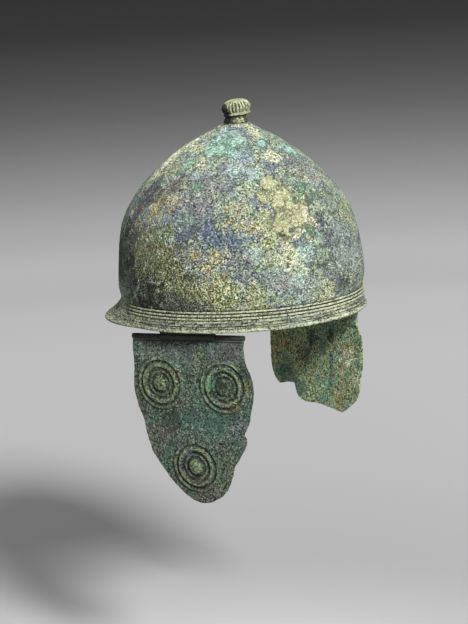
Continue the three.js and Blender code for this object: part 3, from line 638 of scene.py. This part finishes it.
def cheekPatina(name, size, patches, side):
    material, board, place = finishStart(name)
    colour, calm = weathered(board, place, size, patches)[:2]
    coarse = board.grain(place, 0.28, 5, 0.75)
    # the raised rings take an olive tint, partly their colour and partly a painted highlight, and their crests a
    # pale painted highlight; one roundel's boss takes little of either, its mirror image as well
    x, y, z = size["bossAt"]
    boss = board.step(board.distance(place, (x * side, y, z)), *size["bossFade"], 0.1)
    ring = board.step(board.mark("raised") + (coarse - 0.5) * 1.6, 0.3, 0.7)
    colour = board.mix(ring * boss * 0.32, colour, size["raised"])
    colour, value = grained(board, place, colour, size, 1 - calm * 0.6)
    low = board.mark("hollow") * board.step(coarse, 0.64, 0.44)
    shine = board.step(board.mark("crest") + (coarse - 0.5) * 4.0, 0.75, 1.2)
    colour = board.coats(colour, (low * 0.85, size["dark"]), (shine * boss * 0.5, size["pale"]))
    # the painted shadow and highlight along the hinge
    colour = paintHingeShadeAndHighlight(board, place, colour, side)
    relief = (value + coarse * 3.0) * (1 - calm * 0.5)
    return metalEnd(material, board, colour, 0.7 + coarse * 0.2, relief, size["relief"])


hingeFinish = {"ground": tone(52, 54, 44), "rubbed": tone(88, 88, 70), "green": tone(66, 84, 70),
               "relief": 0.2}


def hingePatina():
    material, board, place = finishStart("hingePatina")
    size = hingeFinish
    fine = board.grain(place, 0.7, 3, 0.65)
    broad = board.grain(place, 0.1, 3, 0.6)
    colour = board.coats(size["ground"], (board.step(broad, 0.45, 0.6), size["green"]),
                         (board.step(fine, 0.55, 0.68) * 0.5, size["rubbed"]))
    # the painted shadow and highlight along the hinge
    colour = paintHingeShadeAndHighlight(board, place, colour, -1)
    return metalEnd(material, board, colour, 0.6 + fine * 0.2, fine, size["relief"])


bowlCoat, knobCoat, hingeCoat = bowlPatina(), knobPatina(), hingePatina()
rightCoat = cheekPatina("rightCheekPatina", cheekFinish, rightPatches, -1)
# the far cheek piece's patina is painted lighter, as painted light
leftCoatPaintedLight = cheekPatina("leftCheekPatinaPaintedLight", leftFinishPaintedLight, leftPatches, 1)
print("finishes made")

# the bowl: sizes in millimetres, heights above the rim, turns counted from the front
bowlSize = {
    "height": 163.0, "bulge": 107.8, "waist": 105.4, "rim": 109.0, "mouth": 103.6,
    "wall": 2.2, "crownWall": 3.0,
    "bead": 3.2, "beadRelief": 1.4, "bandTop": 10.2, "ridges": 3, "ridgePitch": 2.7, "ridgeSteps": 360,
    "guardReach": 16.8, "guardDrop": 2.4, "guardRise": 21.0, "guardThickness": 1.6, "guardHalfTurn": 76.0,
    "guardEase": 0.15, "ridgesSunkAt": 0.3, "backDraw": 3.2, "backDrawTop": 80.0,
    "crownForward": 2.8, "crownLeft": 2.3, "leanStart": 60.0, "leanPower": 8,
    "seat": 10.9, "crownRings": (7.5, 4.2), "tenonHole": 3.5, "tenonBevel": 0.4, "innerFoot": 36,
    "columns": 480, "beadRows": 11, "domeRows": 96, "innerRows": 46, "rowStep": 0.35,
    # grooves in the band: height, width and depth; dents: size, octaves, shift and depth
    "grooves": [(5.0, 0.75, 0.35), (7.5, 0.75, 0.3)],
    "dents": [(17, 2, 0, 0.35), (3.2, 3, 40, 0.28)],
}
domeShares = [(0.185, 1), (0.309, 0.988), (0.432, 0.957), (0.556, 0.892), (0.667, 0.786), (0.765, 0.648),
              (0.852, 0.49), (0.92, 0.333), (0.969, 0.187)]
mouldingTop = bowlSize["bandTop"] + bowlSize["ridges"] * bowlSize["ridgePitch"]
domeKnots = [(bowlSize["waist"], mouldingTop)] \
    + [(out * bowlSize["bulge"], up * bowlSize["height"]) for up, out in domeShares] \
    + [(bowlSize["seat"], bowlSize["height"])]


def flareRadius(height):
    low = bowlSize["rim"] - bowlSize["beadRelief"]
    return low + (bowlSize["waist"] - low) * height / mouldingTop


def guardShare(turn):
    # 1 at the middle of the back, easing to 0 where the neck guard ends
    fromBack = np.abs(np.pi - turn) / math.radians(bowlSize["guardHalfTurn"])
    share, ease = np.cos(np.minimum(1, fromBack) * np.pi / 2), bowlSize["guardEase"]
    return (1 + ease) * share ** 2 / (share + ease)


def standing(turn):
    # 1 where the rim's mouldings stand out, easing to 0 where they sink into the neck guard
    return np.maximum(0, 1 - guardShare(turn) / bowlSize["ridgesSunkAt"])


def bowlPlace(radius, height, turn, relief, isBead, isInside):
    # radius and height of a row, drawn out over the neck guard and leaned towards the crown
    size = bowlSize
    share = guardShare(turn)

    def flare(at):
        below = (size["guardRise"] - np.maximum(at, size["bead"])) / (size["guardRise"] - size["bead"])
        return np.maximum(0, below) ** 2

    fade = np.where(isBead, 1, standing(turn))
    draw = size["backDraw"] * np.sin(np.pi * np.minimum(1, height / size["backDrawTop"])) * share
    push = size["guardReach"] * share * flare(height + isInside * size["guardThickness"]) - draw
    reach = radius + relief * fade + np.where(height < size["backDrawTop"], push, 0)
    rise = np.maximum(0, height - size["leanStart"]) / (size["height"] - size["leanStart"])
    lean = rise ** size["leanPower"]
    return np.stack([reach * np.sin(turn) + size["crownLeft"] * lean,
                     -reach * np.cos(turn) - size["crownForward"] * lean,
                     height - size["guardDrop"] * share * flare(height)], -1)


def groove(height, middle, width, depth):
    return -depth * max(0.0, 1 - abs(height - middle) / width)


def bowlRows():
    # each row: radius, height, relief, is it the bead, is it inside, how hollow, how far up the bead's crest
    # (where wear and a painted highlight are laid)
    size = bowlSize
    rows = []

    def plain(inside, *places):
        rows.extend((radius, height, 0, 0, inside, 0, 0) for radius, height in places)

    for turn in np.linspace(-math.pi / 2, math.pi / 2, size["beadRows"]):
        height, out = size["bead"] / 2 * (1 + math.sin(turn)), math.cos(turn)
        rows.append((flareRadius(height), height, size["beadRelief"] * out, 1, 0, 0, 0.6 * out ** 2))
    for height in np.arange(size["bead"] + size["rowStep"], mouldingTop, size["rowStep"]):
        cut = sum(groove(height, *line) for line in size["grooves"])
        ridged = height > size["bandTop"]
        hollow = max(min(1.0, -3 * cut), ridged, height < size["bead"] + 0.5)
        rows.append((flareRadius(height), height, cut - 0.25 * ridged, 0, 0, hollow, 0))
    plain(0, *through(domeKnots, size["domeRows"]))
    top, under, (wide, narrow) = size["height"], size["height"] - size["crownWall"], size["crownRings"]
    hole, bevel = size["tenonHole"], size["tenonBevel"]
    plain(0, (wide, top), (narrow, top), (hole, top - bevel))
    plain(1, (hole, under + bevel), (narrow, under), (wide, under))

    # the inner face follows the outer one at the wall's thickness, then narrows to the mouth
    curve = through(domeKnots, 600)
    slope = np.gradient(curve, axis=0)
    slope /= np.linalg.norm(slope, axis=1)[:, None]
    lining = curve + np.stack([-slope[:, 1], slope[:, 0]], -1) * size["wall"]
    kept = (lining[:, 1] > size["innerFoot"]) & (lining[:, 0] > size["seat"] + 2)
    mouth = size["mouth"]
    knots = [(size["seat"], under)] + lining[kept][::-12].tolist() \
        + [(mouth + 0.9, 27.0), (mouth, mouldingTop), (mouth, size["bead"]), (mouth, 0.5)]
    plain(1, *through(knots, size["innerRows"]), (mouth + 0.5, 0.0))
    return np.array(rows)


def bowlShell():
    rows = bowlRows()
    turn = turns(bowlSize["columns"])
    radius, height, relief, isBead, isInside, hollow, crest = (rows[:, k:k + 1] for k in range(7))
    points = bowlPlace(radius, height, turn, relief, isBead, isInside).reshape(-1, 3)
    inside, breadth = np.repeat(isInside, len(turn)), np.repeat(radius, len(turn))
    axis = points * (1, 1, 0)
    axis /= np.maximum(1, np.linalg.norm(axis, axis=1))[:, None]
    dip = sum(np.clip(0.5 + 0.5 * rough(points, *dent), 0, 1) * depth for *dent, depth in bowlSize["dents"])
    points -= axis * (dip * (1 - inside) * np.minimum(1, breadth / 30))[:, None]
    marks = {"inside": inside, "hollow": (hollow * standing(turn)).ravel(), "crest": (crest + 0 * turn).ravel()}
    return makePiece("bowlShell", points, gridFaces(len(rows), len(turn), wrapRows=True), marks)


bowlPiece = bowlShell()
bowlPiece.data.materials.append(bowlCoat)
print("bowl made")

# three ridges run round the foot of the bowl and sink into it over the neck guard
ridgeSize = {"Ridge Radius": 0.00105, "Wear": 0.3, "Sides": 12}


def ridgeTree():
    board, entry = geometryTree("rimRidges", ridgeSize)
    girth = board.stored("girth")
    place = board.scaled(board.add("GeometryNodeInputPosition"), 1 / mm)
    wear = board.grain(place, 0.25, 2.0, 0.6) * entry["Wear"]
    line = board.add("GeometryNodeMeshToCurve", None, {0: entry["Geometry"]})
    section = board.add("GeometryNodeCurvePrimitiveCircle", None,
                        {"Resolution": entry["Sides"], "Radius": entry["Ridge Radius"]})
    tube = board.add("GeometryNodeCurveToMesh", None, {0: line, 1: section, "Scale": girth * (1 - wear)})
    # the whole tube is marked as crest, which the finish paints pale: wear and a painted highlight
    return closeTree(board, board.store(tube, "crest", girth), entry["Finish"])


def rimRidges():
    size = bowlSize
    turn = turns(size["ridgeSteps"])
    shown = standing(turn)
    points, edges = [], []
    for ridge in range(size["ridges"]):
        height = size["bandTop"] + (ridge + 0.5) * size["ridgePitch"]
        radius = flareRadius(height) - 0.1 - 1.3 * (1 - shown)
        start = ridge * len(turn)
        points.append(bowlPlace(radius, height, turn, 0, 0, 0))
        edges += [(start + k, start + (k + 1) % len(turn)) for k in range(len(turn))]
    girth = np.tile(0.55 + 0.45 * shown, size["ridges"])
    piece = makePiece("rimRidges", np.vstack(points), [], {"girth": girth}, edges)
    return applied(piece, ridgeTree(), dict(ridgeSize, Finish=bowlCoat))


ridgePiece = rimRidges()
print("ridges made")

# the knob is turned first, then fluted, then set a little askew
knobSize = {
    "seat": (2.3, -2.8, 163.3), "foot": 10.6, "neck": 8.9, "neckHeight": 7.0, "flange": 12.0, "flangeEdge": 1.2,
    "cap": 12.7, "capHeight": 12.55, "lean": 6.0, "leanHeading": 130.0, "shift": 1.4,
    "tenon": 3.2, "peen": 5.2, "peenHeight": 1.8, "tenonLength": 5.4, "wear": (0.012, 0.012, 0.008),
    "columns": 240, "neckRows": 14, "capRows": 44,
}
fluteSize = {"Flute Count": 24, "Flute Depth": 0.0013}
neckShares = [(0.95, 0.18), (0.55, 0.38), (0.12, 0.6), (0, 0.8), (0, 0.97)]
capShares = [(0.84, 0.1, 0.2), (0.93, 0.18, 0.8), (1, 0.38, 1), (0.95, 0.6, 1), (0.77, 0.81, 0.7),
             (0.43, 0.95, 0.2)]


def fluteTree():
    board, entry = geometryTree("knobFlutes", fluteSize)
    spot = board.add("GeometryNodeInputPosition")
    turn = board.sum("ARCTAN2", board.part(spot, 0), board.part(spot, 1)) * entry["Flute Count"] * 0.5
    carving = (1 - board.sum("ABSOLUTE", board.sum("COSINE", turn, 0.0), 0.0)) * board.stored("flute")
    inward = board.vector("NORMALIZE", board.vector("MULTIPLY", spot, (-1, -1, 0)), (0, 0, 0))
    offset = board.add("ShaderNodeVectorMath", {"operation": "SCALE"},
                       {0: inward, "Scale": carving * entry["Flute Depth"]})
    carved = board.add("GeometryNodeSetPosition", None, {"Geometry": entry["Geometry"], "Offset": offset})
    return closeTree(board, board.store(carved, "groove", carving), entry["Finish"])


def crestKnob():
    size = knobSize
    tenon, peen, foot, neck, flange = (size[key] for key in ("tenon", "peen", "foot", "neck", "flange"))
    low, half = -size["tenonLength"], size["flangeEdge"] / 2
    top = half + size["capHeight"]
    # rows of radius, height and how deep the flutes are
    stem = [(0, low - size["peenHeight"], 0), (peen / 2, -7.2, 0), (peen, -6.3, 0), (peen, low, 0),
            (tenon, low, 0), (tenon, 0, 0), (foot - 0.3, 0, 0), (foot, 0.3, 0)]
    stem += [(neck + out * (foot - neck), up * size["neckHeight"], 0)
             for out, up in through(neckShares, size["neckRows"])]
    cap = [(neck, -size["flangeEdge"], 0), (flange - 0.2, -0.15, 0), (flange, 0.15, 0), (flange - 0.1, half, 0)]
    knots = [(out * size["cap"], half + up * size["capHeight"], flute) for out, up, flute in capShares]
    cap += [(radius, height, max(0.0, flute))
            for radius, height, flute in through(knots + [(0.4, top, 0)], size["capRows"])]
    rows = np.array(stem + cap + [(0, top, 0)])
    columns = size["columns"]
    piece = makePiece("crestKnob", turned(rows, columns), gridFaces(len(rows), columns),
                      {"flute": np.repeat(rows[:, 2], columns)})
    applied(piece, fluteTree(), dict(fluteSize, Finish=knobCoat))

    # only the cap is worn and leans
    points = coordinates(piece)
    isCap = np.repeat(np.arange(len(rows)) >= len(stem), columns)[:, None]
    points -= points * (0.6 + 0.4 * rough(points, 2.2, 3, 9)[:, None]) * isCap * size["wear"]
    heading = math.radians(size["leanHeading"])
    x, y = -math.cos(heading), -math.sin(heading)
    lean = np.array(Matrix.Rotation(math.radians(size["lean"]), 3, Vector((y, -x, 0))))
    leaning = points @ lean.T + (x * size["shift"], y * size["shift"], size["neckHeight"])
    setPoints(piece, np.where(isCap, leaning, points) + size["seat"])
    closePoles(piece)
    return piece


knobPiece = crestKnob()
print("knob made")


def hung(points, side, turn):
    # from the hinge's own axes (forward, outward, up) to the helmet's, after a turn about the pin
    swing = math.radians(turn)
    along, out, up = np.asarray(points, float).T
    out, up = out * math.cos(swing) - up * math.sin(swing), out * math.sin(swing) + up * math.cos(swing)
    axes = np.array([hingeForward, hingeOutward, hingeUpward])
    return (np.stack([along, out, up], -1) @ axes + hingeSize["middle"]) * (side, 1, 1)


cheekSize = {
    "height": 145.25, "bow": 2.4, "toe": 1.2, "flattening": 0.5, "sheet": 1.15, "spacing": 0.72, "chip": 0.5,
    "top": 1.775, "notch": 0.75, "lapTop": 1.9, "lapNotch": 0.65, "lap": 19.0, "lapEdge": 1.2,
    "notchSide": 0.6, "notchFade": 9, "rightTurn": -1.9164, "leftTurn": -2.7455,
}
roundelSize = {"Centre": (0.0, 0.0, 0.0), "Roundel Radius": 0.0232, "Roundel Height": 0.004, "Wobble": 0.0004}
# forward over the hinge's length and depth over the height, from the rear top corner round to the front
rightOutline = [
    (-0.006, 0.085), (-0.006, 0.17), (-0.022, 0.256), (-0.024, 0.34), (-0.003, 0.425), (0.034, 0.502),
    (0.046, 0.588), (0.066, 0.652), (0.092, 0.71), (0.162, 0.788), (0.226, 0.862), (0.303, 0.926),
    (0.396, 0.981), (0.495, 1), (0.588, 0.984), (0.685, 0.94), (0.746, 0.88), (0.793, 0.801),
    (0.806, 0.744), (0.837, 0.694), (0.911, 0.649), (0.943, 0.606), (0.927, 0.565), (0.975, 0.508),
    (0.999, 0.445), (1.028, 0.375), (1.042, 0.305), (1.039, 0.243), (1.01, 0.182), (0.987, 0.121),
    (0.984, 0.059)]
leftOutline = [
    (-0.006, 0.085), (-0.012, 0.15), (-0.03, 0.22), (-0.033, 0.33), (-0.033, 0.392), (-0.013, 0.471),
    (0.028, 0.52), (0.057, 0.54), (0.138, 0.527), (0.23, 0.528), (0.247, 0.557), (0.263, 0.603),
    (0.351, 0.634), (0.487, 0.636), (0.597, 0.648), (0.697, 0.663), (0.779, 0.671), (0.841, 0.644),
    (0.921, 0.601), (0.969, 0.552), (0.993, 0.459), (1.02, 0.399), (1.028, 0.307), (1.031, 0.217),
    (1.008, 0.173), (0.987, 0.138), (0.99, 0.05)]
upperRoundels = [(0.228, 0.275), (0.795, 0.287)]
lowerRoundel = [(0.473, 0.774)]
# radius over the roundel's radius and height over its height: boss, ring, broad ring, line; then where a
# highlight is painted on the crests
roundelCurve = [(0, 1), (0.19, 0.87), (0.29, 0.46), (0.355, 0.06), (0.45, 0.36), (0.535, 0.06), (0.61, 0.5),
                (0.69, 0.66), (0.76, 0.5), (0.82, 0.04), (0.9, 0.46), (1, 0)]
crestCurve = [(0, 0.3), (0.12, 0.5), (0.2, 0.9), (0.29, 0.2), (0.4, 0.2), (0.45, 0.9), (0.5, 0.2),
              (0.6, 0.2), (0.68, 1), (0.75, 0.6), (0.81, 0), (0.86, 0.2), (0.9, 1), (0.95, 0.2), (1, 0)]


def roundelTree():
    board, entry = geometryTree("cheekRoundel", roundelSize)
    spot = board.add("GeometryNodeInputPosition")
    flat = board.vector("MULTIPLY", board.vector("SUBTRACT", spot, entry["Centre"]), (1, 0, 1))
    uneven = board.grain(board.scaled(spot, 1 / mm), 0.12, 2.0, 0.5) - 0.5
    distance = board.vector("LENGTH", flat, (0, 0, 0), 1) + uneven * entry["Wobble"]
    share = board.sum("MINIMUM", distance / entry["Roundel Radius"], 1.0)
    curve, sheet = board.curve(roundelCurve, share), board.stored("sheet")
    lift = curve * sheet
    low = board.step(curve, 0.3, 0.08) * board.step(share, 0.99, 0.93) * sheet
    # where the rings' crests take a painted highlight
    shine = board.curve(crestCurve, share) * sheet
    offset = board.add("ShaderNodeCombineXYZ", None, {1: lift * entry["Roundel Height"]})
    shape = board.add("GeometryNodeSetPosition", None, {"Geometry": entry["Geometry"], "Offset": offset})
    for name, value in (("raised", lift), ("hollow", low), ("crest", shine)):
        shape = board.store(shape, name, board.sum("MAXIMUM", board.stored(name), value))
    return closeTree(board, shape, entry["Finish"])


def coonsPatch(top, bottom, left, right):
    # a grid that fills the space between four edges
    u = np.linspace(0, 1, len(top))[None, :, None]
    v = np.linspace(0, 1, len(left))[:, None, None]
    ruled = (1 - v) * top[None] + v * bottom[None] + (1 - u) * left[:, None] + u * right[:, None]
    return ruled - ((1 - u) * (1 - v) * top[0] + u * (1 - v) * top[-1]
                    + (1 - u) * v * bottom[0] + u * v * bottom[-1])


def rimLoop(rows, columns):
    # the corners along the edge of a grid, all the way round
    across = list(range(columns))
    down = [r * columns + columns - 1 for r in range(1, rows)]
    under = [(rows - 1) * columns + c for c in range(columns - 2, -1, -1)]
    up = [r * columns for r in range(rows - 2, 0, -1)]
    return across + down + under + up


def slab(front, behind):
    # a closed sheet between two grids of points of the same shape
    rows, columns = front.shape[:2]
    count = rows * columns
    faces = gridFaces(rows, columns, wrapColumns=False)
    faces += gridFaces(rows, columns, wrapColumns=False, start=count, flip=True)
    loop = rimLoop(rows, columns)
    for a, b in zip(loop, loop[1:] + loop[:1]):
        faces.append([a, a + count, b + count, b])
    return np.concatenate([front.reshape(-1, 3), behind.reshape(-1, 3)]), faces


def swell(along, depth):
    # how far the sheet bows outwards
    size = cheekSize
    share = np.clip(depth / size["height"], 0, 1)
    bow = np.sin(np.pi * share) * (1 - size["flattening"] * (2 * along / hingeSize["length"]) ** 2)
    return size["bow"] * bow - size["toe"] * share ** 2


def chipped(line, reach, shift):
    # draws an outline inwards by small uneven chips
    tangent = np.gradient(line, axis=0)
    tangent /= np.maximum(1e-6, np.linalg.norm(tangent, axis=1))[:, None]
    inward = np.stack([-tangent[:, 1], tangent[:, 0]], -1)
    bite = np.clip(0.5 + 0.9 * rough(np.c_[line, 0 * line[:, 0]], 4.5, 3, shift), 0, 1.6) * reach
    count = np.arange(len(line))
    fade = np.clip(np.minimum(count, count[::-1]) / 6, 0, 1)
    return line + inward * (bite * fade)[:, None]


def sleeve(start, stop):
    # a knuckle: a short tube round the pin, a little worn at its ends
    size = hingeSize
    turn = turns(size["sides"])
    outer, inner, ends = size["barrel"], size["bore"], (0, size["rings"] - 1)
    rows = [(along, outer - size["worn"] * (k in ends))
            for k, along in enumerate(np.linspace(start, stop, size["rings"]))]
    rows = np.array(rows + [(stop, inner), (start, inner)])
    points = np.stack([rows[:, :1] + 0 * turn, rows[:, 1:] * np.cos(turn), -rows[:, 1:] * np.sin(turn)], -1)
    return points.reshape(-1, 3), gridFaces(len(rows), len(turn), wrapRows=True, flip=True), 0


def roughSheet(along, depth, size, octaves, shift):
    points = np.stack([along, depth, 0 * along], -1).reshape(-1, 3)
    return rough(points, size, octaves, shift).reshape(along.shape)


def notched(along, depth, top, cut):
    # lowers the top edge where the hinge leaf passes, and less and less below it
    size = cheekSize
    over = np.clip((hingeSize["leaf"] / 2 + size["notchSide"] - np.abs(along)) / size["notchSide"], 0, 1)
    return depth + cut * over * np.clip(1 - (depth - top) / size["notchFade"], 0, 1)


def cheekSheet(line, corners, columns):
    # the sheet, filled in from its four edges, in the hinge's own axes; only its front takes the roundels
    size, half = cheekSize, hingeSize["length"] / 2
    first, second = corners
    tall = max(depth for _, depth in line[:first + 1]) + 10
    rows = int(tall / size["spacing"]) + 1
    left = chipped(through([(-half, size["top"])] + line[:first + 1], rows), size["chip"], 3)
    bottom = chipped(through(line[first:second + 1], columns), size["chip"], 7)
    right = through([(half, size["top"])] + line[:second - 1:-1], rows)
    right = chipped(right[::-1], size["chip"], 11)[::-1]
    top = np.stack([np.linspace(-half, half, columns), np.full(columns, size["top"])], -1)
    along, depth = np.moveaxis(coonsPatch(top, bottom, left, right), -1, 0)
    depth = notched(along, depth, size["top"], size["notch"])
    level = swell(along, depth) + 0.25 * roughSheet(along, depth, 9, 3, 21) \
        + 0.1 * roughSheet(along, depth, 2.2, 3, 5)
    ring = np.zeros(along.shape)
    ring[[0, -1], :] = 1
    ring[:, [0, -1]] = 1
    front = np.stack([along, level + size["sheet"] * (1 - 0.2 * ring), -depth], -1)
    behind = np.stack([along, level + size["sheet"] * 0.2 * ring, -depth], -1)
    return slab(front, behind) + (along.size,)


def cheekLap(line, columns):
    # the strip folded over inside, with a ragged lower edge
    size, half = cheekSize, hingeSize["length"] / 2
    depths = np.linspace(size["lapTop"], size["lap"], int(size["lap"] / size["spacing"]))[:, None]
    left, right = (np.interp(depths, *np.array([(depth, along) for along, depth in side]).T) for side in (
        [(-half, size["top"])] + line[:6], [(half, size["top"])] + line[:-6:-1]))
    across = np.linspace(0, 1, columns)
    along = (left + 0.5) * (1 - across) + (right - 0.5) * across
    ragged = np.minimum(0, 0.6 * roughSheet(along, 0 * along, 8, 3, 2)) * (depths / size["lap"]) ** 4
    depth = notched(along, depths, size["lapTop"], size["lapNotch"]) + ragged
    level = swell(along, depth) + 0.15 * roughSheet(along, depth, 7, 3, 21)
    edge = np.clip((depths - size["lap"] + size["lapEdge"]) / size["lapEdge"], 0, 1) ** 2
    front = np.stack([along, level + 0.1, -depth], -1)
    behind = np.stack([along, level - size["sheet"] * (1 - 0.55 * edge), -depth], -1)
    return slab(front, behind) + (0,)


def joined(name, parts):
    # one mesh of several parts, with a mark for the points that the roundels press out
    points, faces, sheet = [], [], []
    for some, quads, pressed in parts:
        start = len(sheet)
        points.append(some)
        faces += [[corner + start for corner in quad] for quad in quads]
        sheet += [1.0] * pressed + [0.0] * (len(some) - pressed)
    marks = dict.fromkeys(("raised", "hollow", "crest"), [0.0] * len(sheet))
    return makePiece(name, np.vstack(points), faces, dict(marks, sheet=sheet))


cheekTree = roundelTree()


def cheekPiece(name, side, turn, outline, corners, roundels, coat):
    length, height = hingeSize["length"], cheekSize["height"]
    half, inner = length / 2, hingeSize["leaf"] / 2 + hingeSize["gap"]
    columns = int(length / cheekSize["spacing"]) + 1
    line = [((along - 0.5) * length, depth * height) for along, depth in outline]
    piece = joined(name, [cheekSheet(line, corners, columns), cheekLap(line, columns),
                          sleeve(-half, -inner), sleeve(inner, half)])
    for along, depth in roundels:
        centre = ((along - 0.5) * length * mm, 0.0, -depth * height * mm)
        applied(piece, cheekTree, dict(roundelSize, Centre=centre, Finish=coat))
    setPoints(piece, hung(coordinates(piece), side, turn))
    if side < 0:
        piece.data.flip_normals()
    return piece


rightCheek = cheekPiece("rightCheek", -1, cheekSize["rightTurn"], rightOutline, (9, 18),
                        upperRoundels + lowerRoundel, rightCoat)
leftCheek = cheekPiece("leftCheek", 1, cheekSize["leftTurn"], leftOutline, (7, 17), upperRoundels, leftCoatPaintedLight)
print("cheek pieces made")

# the rove, leaves, pins and rivets keep their own shapes
for node in ["crest_rove"] + [side + part for side in ("right_", "left_") for part in (
        "hinge_leaf", "hinge_pin", "rear_leaf_rivet", "front_leaf_rivet")]:
    solid = bpy.data.objects[node]
    solid.data.materials.clear()
    solid.data.materials.append(hingeCoat)

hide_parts("bowl")
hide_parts("crest_knob")
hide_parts("right_cheek_piece")
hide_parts("left_cheek_piece")
for piece, body, slot in ((bowlPiece, "helmet", "bowl_patina"), (ridgePiece, "helmet", "bowl_patina"),
                          (knobPiece, "helmet", "knob_patina"), (rightCheek, "right_cheek", "cheek_patina"),
                          (leftCheek, "left_cheek", "cheek_patina")):
    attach(piece, body)

# a pale floor that curves up into a wall all round, with the lamps inside
studioSize = {"floor": -0.36, "flat": 2.2, "wall": 3.6, "top": 3.0, "bendRows": 12, "columns": 96}
keyHeading = 329.6
# greys of the paint by distance over 3.4 m: they even out the lamps' fall-off on the floor and darken up the
# wall, painted shade as on a lit sweep
studioGreysAndShade = [(0.08, 0.44), (0.27, 0.59), (0.45, 0.69), (0.6, 0.72), (0.71, 0.64), (0.78, 0.44), (0.832, 0.26),
               (0.876, 0.125), (0.906, 0.068), (0.932, 0.03), (0.96, 0.02)]


def studioPaint():
    material, board, place = finishStart("studioPaint")
    flat = board.vector("MULTIPLY", place, (1, 1, 0))
    share = board.vector("LENGTH", flat, (0, 0, 0), 1) / 3400
    stops = [(spot, (grey, grey, grey, 1)) for spot, grey in studioGreysAndShade]
    colour = board.add("ShaderNodeValToRGB", {"stops": stops}, {0: share})
    # the side near the key lamp is a darker grey, so that it doesn't burn out
    near = board.vector("DOT_PRODUCT", place, towards(keyHeading, 0), 1)
    shade = 1 / (1 + board.sum("MAXIMUM", near, 0.0) * (0.65 * mm))
    colour = board.mix(1.0, colour, shade, "MULTIPLY")
    return finishEnd(material, board, {"Base Color": colour, "Roughness": 0.95})


def studio():
    size = studioSize
    floor, flat, wall = size["floor"], size["flat"], size["wall"]
    rows = [(0, floor)]
    for turn in np.linspace(0, math.pi / 2, size["bendRows"] + 1):
        rows.append((flat + (wall - flat) * math.sin(turn), floor + (wall - flat) * (1 - math.cos(turn))))
    rows = np.array(rows + [(wall, size["top"])])
    faces = gridFaces(len(rows), size["columns"], flip=True)
    backdrop = makePiece("studioRoom", turned(rows, size["columns"]) / mm, faces)
    closePoles(backdrop)
    backdrop.data.materials.append(studioPaint())
    for ray in ("visible_diffuse", "visible_glossy", "visible_transmission", "visible_shadow"):
        setattr(backdrop, ray, False)
    return backdrop


def lamp(name, heading, height, distance, width, power, cone=None):
    # a disc, or a narrow spot that lights the helmet alone; degrees, metres and watts
    light = bpy.data.lights.new(name, "SPOT" if cone else "AREA")
    if cone:
        light.spot_size = math.radians(cone)
        light.spot_blend = 0.6
        light.shadow_soft_size = width
    else:
        light.shape = "DISK"
        light.size = width
    light.energy = power
    stand = bpy.data.objects.new(name, light)
    bpy.context.collection.objects.link(stand)
    toLamp = towards(heading, height)
    facing = toLamp.to_track_quat("Z", "Y").to_matrix().to_4x4()
    stand.matrix_world = Matrix.Translation(toLamp * distance) @ facing


room = studio()
lamp("keyLamp", keyHeading, 30, 6.0, 1.0, 540)
lamp("topLamp", 60, 82, 2.7, 0.25, 400, 11)
lamp("lowLamp", 311.6, -14, 2.6, 0.25, 90, 11)
lamp("sideLamp", 364.6, 12, 2.7, 0.3, 144, 11)
world = bpy.data.worlds.new("studioFill")
world.use_nodes = True
fill = world.node_tree.nodes["Background"]
fill.inputs["Color"].default_value = (1, 1, 1, 1)
fill.inputs["Strength"].default_value = 0.3
bpy.context.scene.world = world
bpy.context.scene.view_settings.view_transform = "Standard"
print("studio made")
